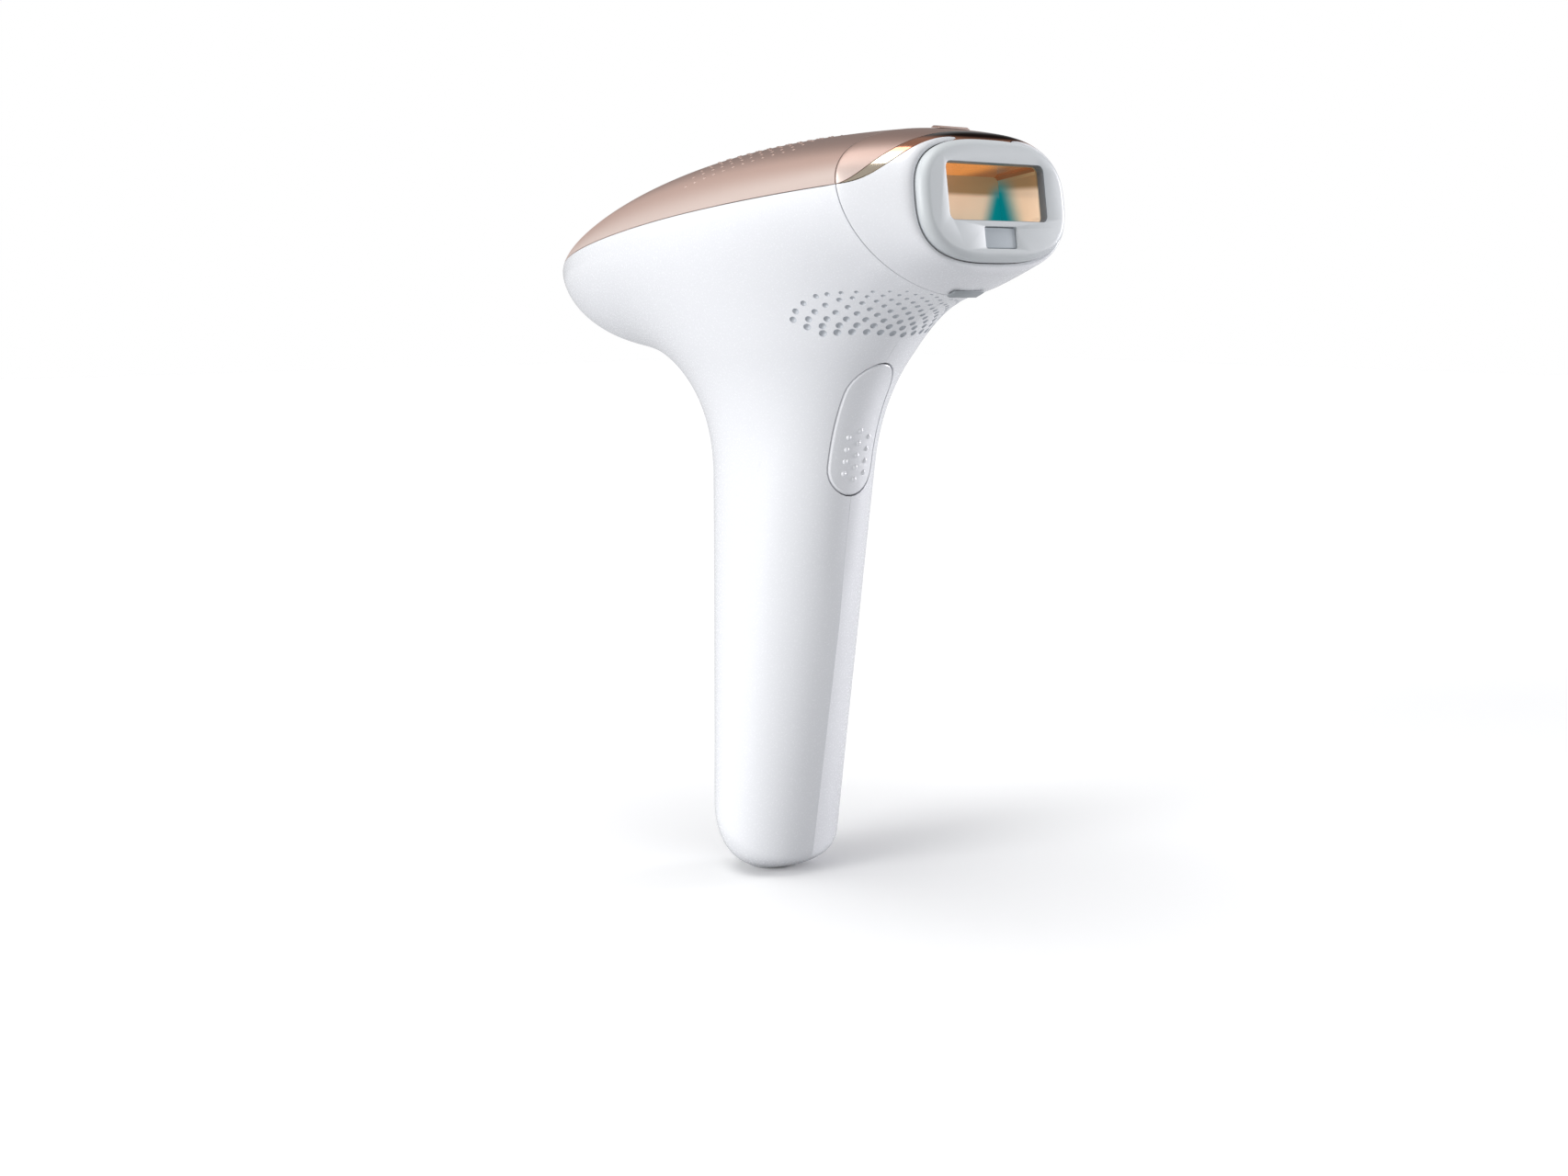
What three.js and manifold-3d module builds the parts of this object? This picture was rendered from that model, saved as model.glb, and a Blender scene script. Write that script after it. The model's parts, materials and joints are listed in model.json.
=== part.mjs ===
// A pistol-shaped IPL (intense pulsed light) hair remover: a long pod with a flash lamp in its front end,
// a handle below it, a pull-off skin attachment on the front and a small control panel on the rear.
//
// Frame, millimetres: origin on the handle's centre line at mid-grip, +X forwards to the light window,
// +Y to the user's left, +Z up. The pod has its own frame, tilted nose-up about Y: `a` runs forwards along
// the pod from the attachment seam, `y` is shared, and `c` is up across the pod.

import * as THREE from "three";
import { mergeVertices } from "three/addons/utils/BufferGeometryUtils.js";
import Module from "manifold-3d";

const wasm = await Module();
wasm.setup();

// ---------- driving dimensions ----------
const GAP = 0.3; // clearance between touching pieces
const WALL = 2.2; // wall of the white shells
const POD_TILT = THREE.MathUtils.degToRad(8.4);
const POD_ORIGIN = new THREE.Vector3(56.4, 0, 97.1); // on the seam plane, level with the pod's widest line
const POD = {
  length: 142,
  width: 36,
  top: 13.9,
  crown: 5.7, // extra height of the crown half-way to the nose
  bottom: 24.8,
  belly: 7, // extra depth of the underside at the nose
  roundTop: 2.28,
  roundBottom: 1.8,
  taper: 3.5,
};
const COVER_LINE = { atSeam: 0, atNose: 2.3, bow: 2.4, gap: 0.3 }; // height c of the cover's parting line
const COVER = { wall: 2, rows: 14, columns: 12 };
const PANEL_AT = -POD.length + 8.5; // edge plane of the rear control panel
const HANDLE = { lean: 0.07, depth: 20, depthTaper: 0.086, width: 18.6, widthTaper: 0.013, top: 78 };
// The handle's rounded end, deeper at the rear than at the front.
const END = { z: -77.3, capRear: 22, capFront: 6.5, round: 2.1, flat: 0.8, share: 0.42 };
// Stations a, y of the four screws.
const SCREWS = [
  [-104, 12.5],
  [-104, -12.5],
  [-86, 12.5],
  [-86, -12.5],
];
const CHASSIS_AT = -13.4; // underside of the chassis frame, height c
const INLET = { mouth: 5, depth: 15, bore: 2.9 };
// The soft ridge down the handle's front fades out upwards, and again at the rounded end.
const KEEL = { height: 0.045, halfAngle: 0.3, fadeLow: -12, fadeHigh: 14, endLow: -77.5, endHigh: -70 };
const BLEND = 34; // how far out the handle flows into the pod
const GRIP_TOP = 22; // above this height the half shells turn from the handle towards the pod
const ROW = { columns: 15, count: 27, flat: 0.1, cap: 0.27, grip: 0.58 }; // mesh rows of a half shell
const CORNER_SHARE = 0.4; // share of the columns whose upper end is on the attachment seam
// The attachment's shell, from the seam to its front shoulder.
const SHELL = { shoulder: 12.7, halfWidth: 25, halfHeight: 15.4, n: 2.6, wall: 1.8, columns: 36, turn: 1.2 };
const PAD = { face: 14.7, back: 10.7, centre: -5.1, halfWidth: 23.4, halfHeight: 13.7, n: 2.8 };
const WINDOW = { centre: -3.3, halfWidth: 16, halfHeight: 6.45, radius: 1.5 };
// The mirrored tunnel behind the window stops short of the pad's face, which keeps a rim of its own.
const TUNNEL = { from: 0.6, wall: 0.6, rim: 2 };
const GLASS = { back: -2.9, front: 0.1 };
const SENSOR = { centre: -13.6, halfWidth: 5.35, halfHeight: 2.5, radius: 0.6 };
// The accent strip lies between two curves a = reach * (c / rise) ^ bend, swept across the attachment.
const STRIP = {
  back: { reach: 9.7, rise: 10, bend: 0.5 },
  front: { reach: 12, rise: 9.4, bend: 0.35 },
};
const TRIGGER = { top: 56.4, bottom: 23.6, halfWidth: 7.3, thick: 2.2, pivot: 51, pusher: 34, spring: 43 };
// Rows of dimples, lowest first; each row starts at its own half width.
const VENTS = { lowest: 62.6, pitchZ: 1.75, pitchY: 3.7, starts: [17, 19.6, 22, 23, 22.6, 21.2, 19] };
// The two buttons on the rear panel, one on each side of the middle.
const BUTTON = { c: -3.8, y: 4.7, radius: 3.5, proud: 0.45, travel: 0.8 };

// ---------- small vector helpers ----------
const axisA = new THREE.Vector3(Math.cos(POD_TILT), 0, Math.sin(POD_TILT));
const axisC = new THREE.Vector3(-Math.sin(POD_TILT), 0, Math.cos(POD_TILT));
const axisY = new THREE.Vector3(0, 1, 0);
const lerp = THREE.MathUtils.lerp;
const clamp = THREE.MathUtils.clamp;
const smooth = (x, low, high) => THREE.MathUtils.smoothstep(x, low, high);
const power = (x, n) => Math.pow(Math.abs(x), n);

/** A point given in the pod's frame, in the part's frame. */
function fromPod(a, y, c) {
  return POD_ORIGIN.clone().addScaledVector(axisA, a).addScaledVector(axisY, y).addScaledVector(axisC, c);
}

// ---------- the outer form as one implicit surface ----------
/** Height of the pod's crown above its widest line, at s = 0 (seam) to 1 (nose). */
const crownHeight = (s) => POD.top + POD.crown * 4 * s * (1 - s);
const bellyDepth = (s) => POD.bottom + POD.belly * s;
const podTaper = (s) => Math.sqrt(Math.max(1 - Math.pow(s, POD.taper), 0));

/** Below 0 inside the pod, 0 on its surface. */
function podForm(p) {
  const d = p.clone().sub(POD_ORIGIN);
  const a = d.dot(axisA);
  const c = d.dot(axisC);
  const n = c > 0 ? POD.roundTop : POD.roundBottom;
  const s = Math.max(-a / POD.length, 0);
  const height = c > 0 ? crownHeight(Math.min(s, 1)) : bellyDepth(Math.min(s, 1));
  const ring = Math.pow(power(d.y / POD.width, n) + power(c / height, n), 1 / n);
  return Math.sqrt(ring * ring + Math.pow(s, POD.taper)) - 1;
}

/** Centre x, half depth and half width of the handle at height z. */
function handleSection(z) {
  return {
    x: HANDLE.lean * z,
    depth: HANDLE.depth + HANDLE.depthTaper * z,
    width: HANDLE.width + HANDLE.widthTaper * z,
  };
}

/** Below 0 inside the handle, which is capped at both ends. */
function handleForm(p) {
  const h = handleSection(p.z);
  const u = (p.x - h.x) / h.depth;
  const v = p.y / h.width;
  const fade = smooth(p.z, KEEL.endLow, KEEL.endHigh) * (1 - smooth(p.z, KEEL.fadeLow, KEEL.fadeHigh));
  const ridge = KEEL.height * fade * Math.exp(-Math.abs(Math.atan2(v, u)) / KEEL.halfAngle);
  const ring = Math.hypot(u, v) * (1 - ridge);
  const capHeight = lerp(END.capRear, END.capFront, (clamp(u, -1, 1) + 1) / 2);
  const down = Math.max((END.z + capHeight - p.z) / capHeight, 0);
  const up = Math.max((p.z - HANDLE.top + 20) / 20, 0);
  return Math.pow(power(ring, END.round) + Math.pow(down, END.round) + up * up, 1 / END.round) - 1;
}

/** A form's value divided by its slope, which is close to a distance in millimetres. */
function distanceTo(form, p) {
  const step = 0.05;
  const value = form(p);
  const slope = new THREE.Vector3();
  for (const axis of ["x", "y", "z"]) {
    const q = p.clone();
    q[axis] += step;
    slope[axis] = (form(q) - value) / step;
  }
  return value / Math.max(slope.length(), 1e-6);
}

/** The body's outer form: pod and handle joined with a wide fillet. Close to a distance, below 0 inside. */
function bodyForm(p) {
  const pod = distanceTo(podForm, p);
  const handle = distanceTo(handleForm, p);
  const overlap = Math.max(BLEND - Math.abs(pod - handle), 0);
  return Math.min(pod, handle) - (overlap * overlap) / (4 * BLEND);
}

/** Moves p on to the level of the body's form, sliding only in the directions that `held` leaves free. */
function settle(p, level = 0, held = []) {
  const step = 0.05;
  const q = p.clone();
  for (let i = 0; i < 14; i++) {
    const value = bodyForm(q) - level;
    const slope = new THREE.Vector3();
    for (const axis of ["x", "y", "z"]) {
      const r = q.clone();
      r[axis] += step;
      slope[axis] = (bodyForm(r) - level - value) / step;
    }
    for (const normal of held) slope.addScaledVector(normal, -slope.dot(normal));
    const move = slope.multiplyScalar(-value / Math.max(slope.lengthSq(), 1e-4));
    q.add(move.clampLength(0, 6));
    if (Math.abs(value) < 1e-4) break;
  }
  return q;
}

// ---------- meshes and solids ----------
/** A closed geometry between a grid of outer points and a grid of inner points of the same size. */
function thickPatch(outer, inner, closedAcross = false) {
  const rows = outer.length;
  const columns = outer[0].length;
  const points = [...outer.flat(), ...inner.flat()];
  const faces = [];
  const at = (layer, j, i) => layer * rows * columns + j * columns + (i % columns);
  const quad = (p, q, r, s) => faces.push(p, q, r, p, r, s);
  const spans = closedAcross ? columns : columns - 1;
  for (let j = 0; j < rows - 1; j++) {
    for (let i = 0; i < spans; i++) {
      quad(at(0, j, i), at(0, j, i + 1), at(0, j + 1, i + 1), at(0, j + 1, i));
      quad(at(1, j, i), at(1, j + 1, i), at(1, j + 1, i + 1), at(1, j, i + 1));
    }
    if (!closedAcross) {
      quad(at(0, j, 0), at(0, j + 1, 0), at(1, j + 1, 0), at(1, j, 0));
      quad(at(0, j, spans), at(1, j, spans), at(1, j + 1, spans), at(0, j + 1, spans));
    }
  }
  for (let i = 0; i < spans; i++) {
    quad(at(0, 0, i), at(1, 0, i), at(1, 0, i + 1), at(0, 0, i + 1));
    quad(at(0, rows - 1, i), at(0, rows - 1, i + 1), at(1, rows - 1, i + 1), at(1, rows - 1, i));
  }
  const geometry = new THREE.BufferGeometry();
  const values = points.flatMap((p) => p.toArray());
  geometry.setAttribute("position", new THREE.Float32BufferAttribute(values, 3));
  geometry.setIndex(faces);
  return geometry;
}

/** A closed geometry as a manifold-3d solid, turned to face outwards. */
function solid(geometry, matrix) {
  const g = geometry.clone();
  if (matrix) g.applyMatrix4(matrix);
  g.deleteAttribute("normal");
  g.deleteAttribute("uv");
  const merged = mergeVertices(g, 1e-4);
  const all = merged.index.array;
  const kept = [];
  for (let i = 0; i < all.length; i += 3) {
    const [p, q, r] = [all[i], all[i + 1], all[i + 2]];
    if (p !== q && q !== r && p !== r) kept.push(p, q, r);
  }
  const vertProperties = merged.attributes.position.array;
  const build = (triVerts) => new wasm.Manifold(new wasm.Mesh({ numProp: 3, vertProperties, triVerts }));
  const made = build(new Uint32Array(kept));
  if (made.volume() > 0) return made;
  for (let i = 0; i < kept.length; i += 3) [kept[i + 1], kept[i + 2]] = [kept[i + 2], kept[i + 1]];
  return build(new Uint32Array(kept));
}

/** A manifold-3d solid back as a three.js geometry. */
function geometryOf(manifold) {
  const mesh = manifold.getMesh();
  const points = new Float32Array(mesh.numVert * 3);
  for (let i = 0; i < mesh.numVert; i++) {
    points.set(mesh.vertProperties.subarray(i * mesh.numProp, i * mesh.numProp + 3), i * 3);
  }
  const geometry = new THREE.BufferGeometry();
  geometry.setAttribute("position", new THREE.BufferAttribute(points, 3));
  geometry.setIndex(new THREE.BufferAttribute(mesh.triVerts, 1));
  return geometry.toNonIndexed();
}

/** The largest separate piece of a solid. */
function largest(manifold) {
  return manifold.decompose().reduce((best, piece) => (piece.volume() > best.volume() ? piece : best));
}

/** A box solid from its low and high corners. */
function box(low, high) {
  const size = high.map((value, i) => value - low[i]);
  return solid(
    new THREE.BoxGeometry(...size),
    new THREE.Matrix4().makeTranslation(...low.map((value, i) => value + size[i] / 2)),
  );
}

/** A cylinder solid between two points. */
function rod(from, to, radius, sides = 16) {
  const start = new THREE.Vector3(...from);
  const along = new THREE.Vector3(...to).sub(start);
  const turn = new THREE.Quaternion().setFromUnitVectors(axisY, along.clone().normalize());
  const middle = start.clone().addScaledVector(along, 0.5);
  const matrix = new THREE.Matrix4().compose(middle, turn, new THREE.Vector3(1, 1, 1));
  return solid(new THREE.CylinderGeometry(radius, radius, along.length(), sides), matrix);
}

/** An outline (a list of [y, z]) drawn across X and pushed from x = low to x = high. */
function slab(outline, low, high, holes = []) {
  const shape = new THREE.Shape(outline.map(([y, z]) => new THREE.Vector2(y, z)));
  for (const hole of holes) shape.holes.push(new THREE.Path(hole.map(([y, z]) => new THREE.Vector2(y, z))));
  const geometry = new THREE.ExtrudeGeometry(shape, { depth: high - low, bevelEnabled: false, steps: 1 });
  const matrix = new THREE.Matrix4().makeBasis(axisY, new THREE.Vector3(0, 0, 1), new THREE.Vector3(1, 0, 0));
  return solid(geometry, matrix.setPosition(low, 0, 0));
}

/** A rounded rectangle as [y, z] points. */
function roundedRectangle(centreZ, halfWidth, halfHeight, radius, steps = 3, centreY = 0) {
  const points = [];
  for (let corner = 0; corner < 4; corner++) {
    const sy = corner === 0 || corner === 3 ? 1 : -1;
    const sz = corner < 2 ? 1 : -1;
    for (let i = 0; i <= steps; i++) {
      const angle = ((corner + i / steps) * Math.PI) / 2;
      points.push([
        centreY + sy * (halfWidth - radius) + radius * Math.cos(angle),
        centreZ + sz * (halfHeight - radius) + radius * Math.sin(angle),
      ]);
    }
  }
  return points;
}

/** A superellipse as [y, z] points. */
function superellipse(centreZ, halfWidth, halfHeight, n, count) {
  return Array.from({ length: count }, (_, i) => {
    const t = (i / count) * 2 * Math.PI;
    const y = Math.sign(Math.cos(t)) * power(Math.cos(t), 2 / n);
    const z = Math.sign(Math.sin(t)) * power(Math.sin(t), 2 / n);
    return [halfWidth * y, centreZ + halfHeight * z];
  });
}

// ---------- materials ----------
function material(color, roughness, metalness = 0, opacity = 1) {
  return new THREE.MeshStandardMaterial({ color, roughness, metalness, opacity, transparent: opacity < 1 });
}
const white = material(0xe9e9ec, 0.22);
const roseSatin = material(0xd9b3a2, 0.35, 0.55);
const copper = material(0xd08a66, 0.12, 1);
const greyPad = material(0xc9cfd3, 0.4);
const clearGlass = material(0xe8f0f2, 0.05, 0, 0.35);
const filterGlass = material(0xe8a66a, 0.05, 0.2, 0.6);
const polished = material(0xd8d8d8, 0.1, 1);
const darkPlastic = material(0x2c2e33, 0.5);
const lightPlastic = material(0xbfc3c8, 0.5);
const board = material(0x1f6b3f, 0.6);
const steel = material(0xb8bcc0, 0.3, 1);
const copperWire = material(0xb87333, 0.35, 1);
const sleeve = material(0x1d3a5f, 0.5);
const lamp = material(0xf2f6f8, 0.05, 0, 0.4);

const part = new THREE.Group();

const podMatrix = new THREE.Matrix4().makeBasis(axisA, axisY, axisC).setPosition(POD_ORIGIN);

/** Adds a solid given in the part's frame. */
function add(name, shape, finish, matrix = null) {
  const geometry = geometryOf(shape);
  if (matrix) geometry.applyMatrix4(matrix);
  const mesh = new THREE.Mesh(geometry, finish);
  mesh.name = name;
  part.add(mesh);
}

/** Adds a solid given in the pod's own a, y, c frame. */
const addPod = (name, shape, finish) => add(name, shape, finish, podMatrix);

// ---------- white housing halves ----------
/** Half width of the pod at station a and height c. */
function podHalfWidth(a, c) {
  const s = clamp(-a / POD.length, 0, 1);
  const n = c > 0 ? POD.roundTop : POD.roundBottom;
  const height = (c > 0 ? crownHeight(s) : bellyDepth(s)) * podTaper(s);
  return POD.width * podTaper(s) * Math.pow(Math.max(1 - power(c / Math.max(height, 1e-6), n), 0), 1 / n);
}

/** Height c of the parting line between the white halves and the top cover, at station a. */
function coverHeight(a) {
  const s = clamp(-a / POD.length, 0, 1);
  return lerp(COVER_LINE.atSeam, COVER_LINE.atNose, s) + COVER_LINE.bow * 4 * s * (1 - s);
}

/** Unit normal of the parting surface at station a. */
function coverNormal(a) {
  const slope = coverHeight(a + 0.5) - coverHeight(a - 0.5);
  return axisC.clone().addScaledVector(axisA, -slope).normalize();
}

/** Station where the parting line meets the nose on the middle plane. */
function noseEnd() {
  let [low, high] = [0.5, 1];
  for (let i = 0; i < 40; i++) {
    const s = (low + high) / 2;
    if (coverHeight(-s * POD.length) < crownHeight(s) * podTaper(s)) low = s;
    else high = s;
  }
  return -low * POD.length;
}
const NOSE_END = noseEnd();

/** The upper edge of a half: u runs from the seam's bottom round to its corner, then back to the nose. */
function upperEdge(u) {
  if (u <= CORNER_SHARE) {
    const t = (u / CORNER_SHARE) * (Math.PI / 2);
    const n = 2 / POD.roundBottom;
    const rise = 0.9 * (u / CORNER_SHARE);
    return {
      p: fromPod(-GAP / 2, POD.width * Math.pow(Math.sin(t), n), -POD.bottom * Math.pow(Math.cos(t), n)),
      held: [axisA],
      arrive: axisA.clone().addScaledVector(axisC, rise).normalize(),
    };
  }
  const t = (u - CORNER_SHARE) / (1 - CORNER_SHARE);
  const a = lerp(-GAP / 2, NOSE_END, Math.sin((t * Math.PI) / 2));
  const c = coverHeight(a) - COVER_LINE.gap;
  return { p: fromPod(a, podHalfWidth(a, c), c), held: [coverNormal(a)], arrive: axisC.clone() };
}

/** One point of a half's skin: column u (0 front, 1 rear) of row v (0 at the inlet, 1 at the top edge). */
function skinPoint(u, v, depth, side) {
  const angle = u * Math.PI;
  const onMiddle = u < 1e-6 || u > 1 - 1e-6;
  const held = onMiddle ? [axisY] : [];
  const flatZ = END.z + END.flat;
  const handlePoint = (z, scaleX = 1, scaleY = scaleX) => {
    const h = handleSection(z);
    return new THREE.Vector3(h.x + scaleX * h.depth * Math.cos(angle), scaleY * h.width * Math.sin(angle), z);
  };
  const keepSide = (p) => {
    p.y = onMiddle ? (side * GAP) / 2 : side * Math.max(p.y, GAP / 2);
    return p;
  };
  let p;
  if (v <= ROW.flat) {
    const h = handleSection(flatZ);
    const t = v / ROW.flat;
    const share = (size) => lerp(INLET.mouth / size, END.share, t);
    p = handlePoint(flatZ, share(h.depth), share(h.width));
    p.z += depth;
    return keepSide(p);
  }
  if (v <= ROW.cap) {
    const t = ((v - ROW.flat) / (ROW.cap - ROW.flat)) * (Math.PI / 2);
    const z = lerp(flatZ, END.z + END.capRear, 1 - Math.cos(t));
    p = handlePoint(z, lerp(END.share, 1, Math.sin(t)));
  } else if (v <= ROW.grip) {
    p = handlePoint(lerp(END.z + END.capRear, GRIP_TOP, (v - ROW.cap) / (ROW.grip - ROW.cap)));
  } else {
    const t = (v - ROW.grip) / (1 - ROW.grip);
    const start = handlePoint(GRIP_TOP);
    const end = upperEdge(u);
    const span = start.distanceTo(end.p);
    const [t2, t3] = [t * t, t * t * t];
    p = start.clone().multiplyScalar(2 * t3 - 3 * t2 + 1);
    p.z += 0.8 * span * (t3 - 2 * t2 + t);
    p.addScaledVector(end.p, 3 * t2 - 2 * t3).addScaledVector(end.arrive, 0.9 * span * (t3 - t2));
    if (v > 1 - 1e-6) held.push(...end.held);
  }
  if (onMiddle) p.y = GAP / 2;
  return keepSide(settle(p, -depth, held));
}

function housingHalf(side) {
  const row = (v, depth) =>
    Array.from({ length: ROW.columns + 1 }, (_, i) => skinPoint(i / ROW.columns, v, depth, side));
  const grid = (depth) => Array.from({ length: ROW.count + 1 }, (_, j) => row(j / ROW.count, depth));
  return solid(thickPatch(grid(0), grid(WALL)));
}

// ---------- top cover ----------
function coverPoint(t, w, depth) {
  const a = lerp(-GAP / 2, NOSE_END, Math.sin((t * Math.PI) / 2));
  const s = -a / POD.length;
  const height = crownHeight(s) * podTaper(s);
  const foot = coverHeight(a) + COVER_LINE.gap;
  const rise = clamp(foot / Math.max(height, 1e-6), 0, 1);
  const start = Math.asin(Math.pow(rise, POD.roundTop / 2));
  const angle = lerp(start, Math.PI - start, w);
  const n = 2 / POD.roundTop;
  const y = Math.sign(Math.cos(angle)) * POD.width * podTaper(s) * power(Math.cos(angle), n);
  const c = height * power(Math.sin(angle), n);
  const onEdge = w < 1e-6 || w > 1 - 1e-6;
  if (t > 1 - 1e-6) return settle(fromPod(a, 0, foot), -depth, [axisY, coverNormal(a)]);
  return settle(fromPod(a, y, onEdge ? foot : c), -depth, onEdge ? [coverNormal(a)] : [axisA]);
}

function coverSolid() {
  const row = (t, depth) =>
    Array.from({ length: COVER.columns + 1 }, (_, i) => coverPoint(t, i / COVER.columns, depth));
  const grid = (depth) => Array.from({ length: COVER.rows + 1 }, (_, j) => row(j / COVER.rows, depth));
  return solid(thickPatch(grid(0), grid(COVER.wall)));
}

// ---------- attachment ----------
/** A ring of [y, c] points on the body's form at station a, starting at +Y and running over the crown. */
function seamRing(a, count) {
  return Array.from({ length: count }, (_, i) => {
    const t = (i / count) * 2 * Math.PI;
    const [cos, sin] = [Math.cos(t), Math.sin(t)];
    const n = 2 / (sin > 0 ? POD.roundTop : POD.roundBottom);
    const y = Math.sign(cos) * POD.width * power(cos, n);
    const c = sin > 0 ? POD.top * power(sin, n) : -POD.bottom * power(sin, n);
    const d = settle(fromPod(a, y, c), 0, [axisA]).sub(POD_ORIGIN);
    return [d.y, d.dot(axisC)];
  });
}

/** A closed solid through rings of [y, c] points, each given as [a, ring]. */
function loft(rings) {
  const count = rings[0][1].length;
  const points = rings.flatMap(([a, ring]) => ring.map(([y, c]) => [a, y, c]));
  const faces = [];
  for (let j = 0; j < rings.length - 1; j++) {
    for (let i = 0; i < count; i++) {
      const [p, q] = [j * count + i, j * count + ((i + 1) % count)];
      faces.push(p, q, q + count, p, q + count, p + count);
    }
  }
  for (const j of [0, rings.length - 1]) {
    const [a, ring] = rings[j];
    const middle = points.length;
    const mean = (k) => ring.reduce((sum, p) => sum + p[k], 0) / count;
    points.push([a, mean(0), mean(1)]);
    for (let i = 0; i < count; i++) {
      const [p, q] = [j * count + i, j * count + ((i + 1) % count)];
      faces.push(...(j === 0 ? [middle, q, p] : [middle, p, q]));
    }
  }
  const geometry = new THREE.BufferGeometry();
  geometry.setAttribute("position", new THREE.Float32BufferAttribute(points.flat(), 3));
  geometry.setIndex(faces);
  return solid(geometry);
}

const shrink = (ring, by, centre = 0) =>
  ring.map(([y, c]) => {
    const size = Math.hypot(y, c - centre);
    return [y * (1 - by / size), centre + (c - centre) * (1 - by / size)];
  });

/** The attachment's outer or inner skin as rings from the seam to the lip around the pad. */
function attachmentRings(inset) {
  const seam = shrink(seamRing(GAP / 2, SHELL.columns), inset);
  const front = shrink(
    superellipse(PAD.centre, SHELL.halfWidth, SHELL.halfHeight, SHELL.n, SHELL.columns), inset, PAD.centre,
  );
  const lip = superellipse(PAD.centre, PAD.halfWidth + GAP, PAD.halfHeight + GAP, PAD.n, SHELL.columns);
  const rings = [];
  for (let i = 0; i <= 5; i++) {
    const mix = Math.pow(i / 5, SHELL.turn);
    const ring = seam.map(([y, c], k) => [lerp(y, front[k][0], mix), lerp(c, front[k][1], mix)]);
    rings.push([lerp(GAP / 2, SHELL.shoulder - inset, i / 5), ring]);
  }
  rings.push([SHELL.shoulder - 0.5 - inset, lip]);
  return rings;
}

function attachmentSolid() {
  const grid = (inset) =>
    attachmentRings(inset).map(([a, ring]) => ring.map(([y, c]) => new THREE.Vector3(a, y, c)));
  return solid(thickPatch(grid(0), grid(SHELL.wall), true));
}

/** Everything behind and above a strip curve, grown by `grow` at right angles to it. */
function behindCurve({ reach, rise, bend }, grow) {
  const points = [[-60, -grow], [grow, -grow]];
  for (let i = 1; i <= 10; i++) {
    const c = 18 * (i / 10) ** 2;
    points.push([reach * Math.pow(c / rise, bend) + grow, c - grow]);
  }
  points.push([-60, 18]);
  const shape = new THREE.Shape(points.map(([a, c]) => new THREE.Vector2(a, c)));
  const geometry = new THREE.ExtrudeGeometry(shape, { depth: 90, bevelEnabled: false, steps: 1 });
  const across = new THREE.Matrix4().makeRotationX(Math.PI / 2);
  return solid(geometry, across.setPosition(0, 45, 0));
}

const wholeShell = attachmentSolid();
const capSide = behindCurve(STRIP.back, -0.12);
const stripSide = behindCurve(STRIP.front, -0.12);
const capCut = behindCurve(STRIP.back, 0.12);
const stripCut = behindCurve(STRIP.front, 0.12);
const padOutline = superellipse(PAD.centre, PAD.halfWidth, PAD.halfHeight, PAD.n, 36);
const windowOutline = (grow = 0) =>
  roundedRectangle(WINDOW.centre, WINDOW.halfWidth + grow, WINDOW.halfHeight + grow, WINDOW.radius + grow);
const sensorOutline = (grow = 0) =>
  roundedRectangle(SENSOR.centre, SENSOR.halfWidth + grow, SENSOR.halfHeight + grow, SENSOR.radius + grow, 1);

const PLUNGER_Y = 25;
const pushers = [-PLUNGER_Y, PLUNGER_Y].map((y) =>
  rod([1.2, y, WINDOW.centre], [SHELL.shoulder - 1, y, WINDOW.centre], 1.2, 8),
);
addPod("attachment_shell", wholeShell.subtract(stripCut).add(pushers[0]).add(pushers[1]), white);
addPod("attachment_cap", wholeShell.intersect(capSide), roseSatin);
addPod("accent_strip", wholeShell.intersect(stripSide).subtract(capCut), copper);
addPod(
  "contact_pad",
  loft([
    [PAD.back, shrink(padOutline, 0.4, PAD.centre)],
    [PAD.face - 0.9, padOutline],
    [PAD.face, shrink(padOutline, 0.9, PAD.centre)],
  ])
    .subtract(slab(windowOutline(), PAD.back - 1, PAD.face + 1))
    .subtract(slab(windowOutline(TUNNEL.wall + GAP), PAD.back - 1, PAD.face - TUNNEL.rim))
    .subtract(slab(sensorOutline(), PAD.back - 1, PAD.face + 1)),
  greyPad,
);
const tunnelEnd = PAD.face - TUNNEL.rim - GAP;
addPod("light_tunnel", slab(windowOutline(TUNNEL.wall), TUNNEL.from, tunnelEnd, [windowOutline()]), polished);
addPod("sensor_window", slab(sensorOutline(-GAP), PAD.face - 3.2, PAD.face - 1.2), clearGlass);

const [, seamTop, , seamBottom] = seamRing(GAP / 2, 4).map(([, c]) => c);
/** A grip tab on the attachment's skin: a small raised pad that follows the shell at y = 0. */
function gripTab(sign, low, high, halfWidth, rise) {
  const ring = (a) => {
    const mix = Math.pow((a - GAP / 2) / (SHELL.shoulder - GAP / 2), SHELL.turn);
    return lerp(sign > 0 ? seamTop : seamBottom, PAD.centre + sign * SHELL.halfHeight, mix);
  };
  const points = [];
  for (const a of [low, high]) {
    const c = ring(a);
    const foot = c + sign * GAP;
    const face = c + sign * rise;
    points.push(a, -halfWidth, foot, a, halfWidth, foot, a, halfWidth - 1, face, a, 1 - halfWidth, face);
  }
  const geometry = new THREE.BufferGeometry();
  geometry.setAttribute("position", new THREE.Float32BufferAttribute(points, 3));
  const faces = [0, 1, 2, 0, 2, 3, 4, 6, 5, 4, 7, 6];
  for (let i = 0; i < 4; i++) {
    const next = (i + 1) % 4;
    faces.push(i, i + 4, next + 4, i, next + 4, next);
  }
  geometry.setIndex(faces);
  return solid(geometry);
}
addPod("catch_top", gripTab(1, 0.7, 3.4, 5.4, 0.9), roseSatin);
addPod("catch_bottom", gripTab(-1, 0.7, 3.6, 5.4, 1.1), greyPad);

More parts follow.
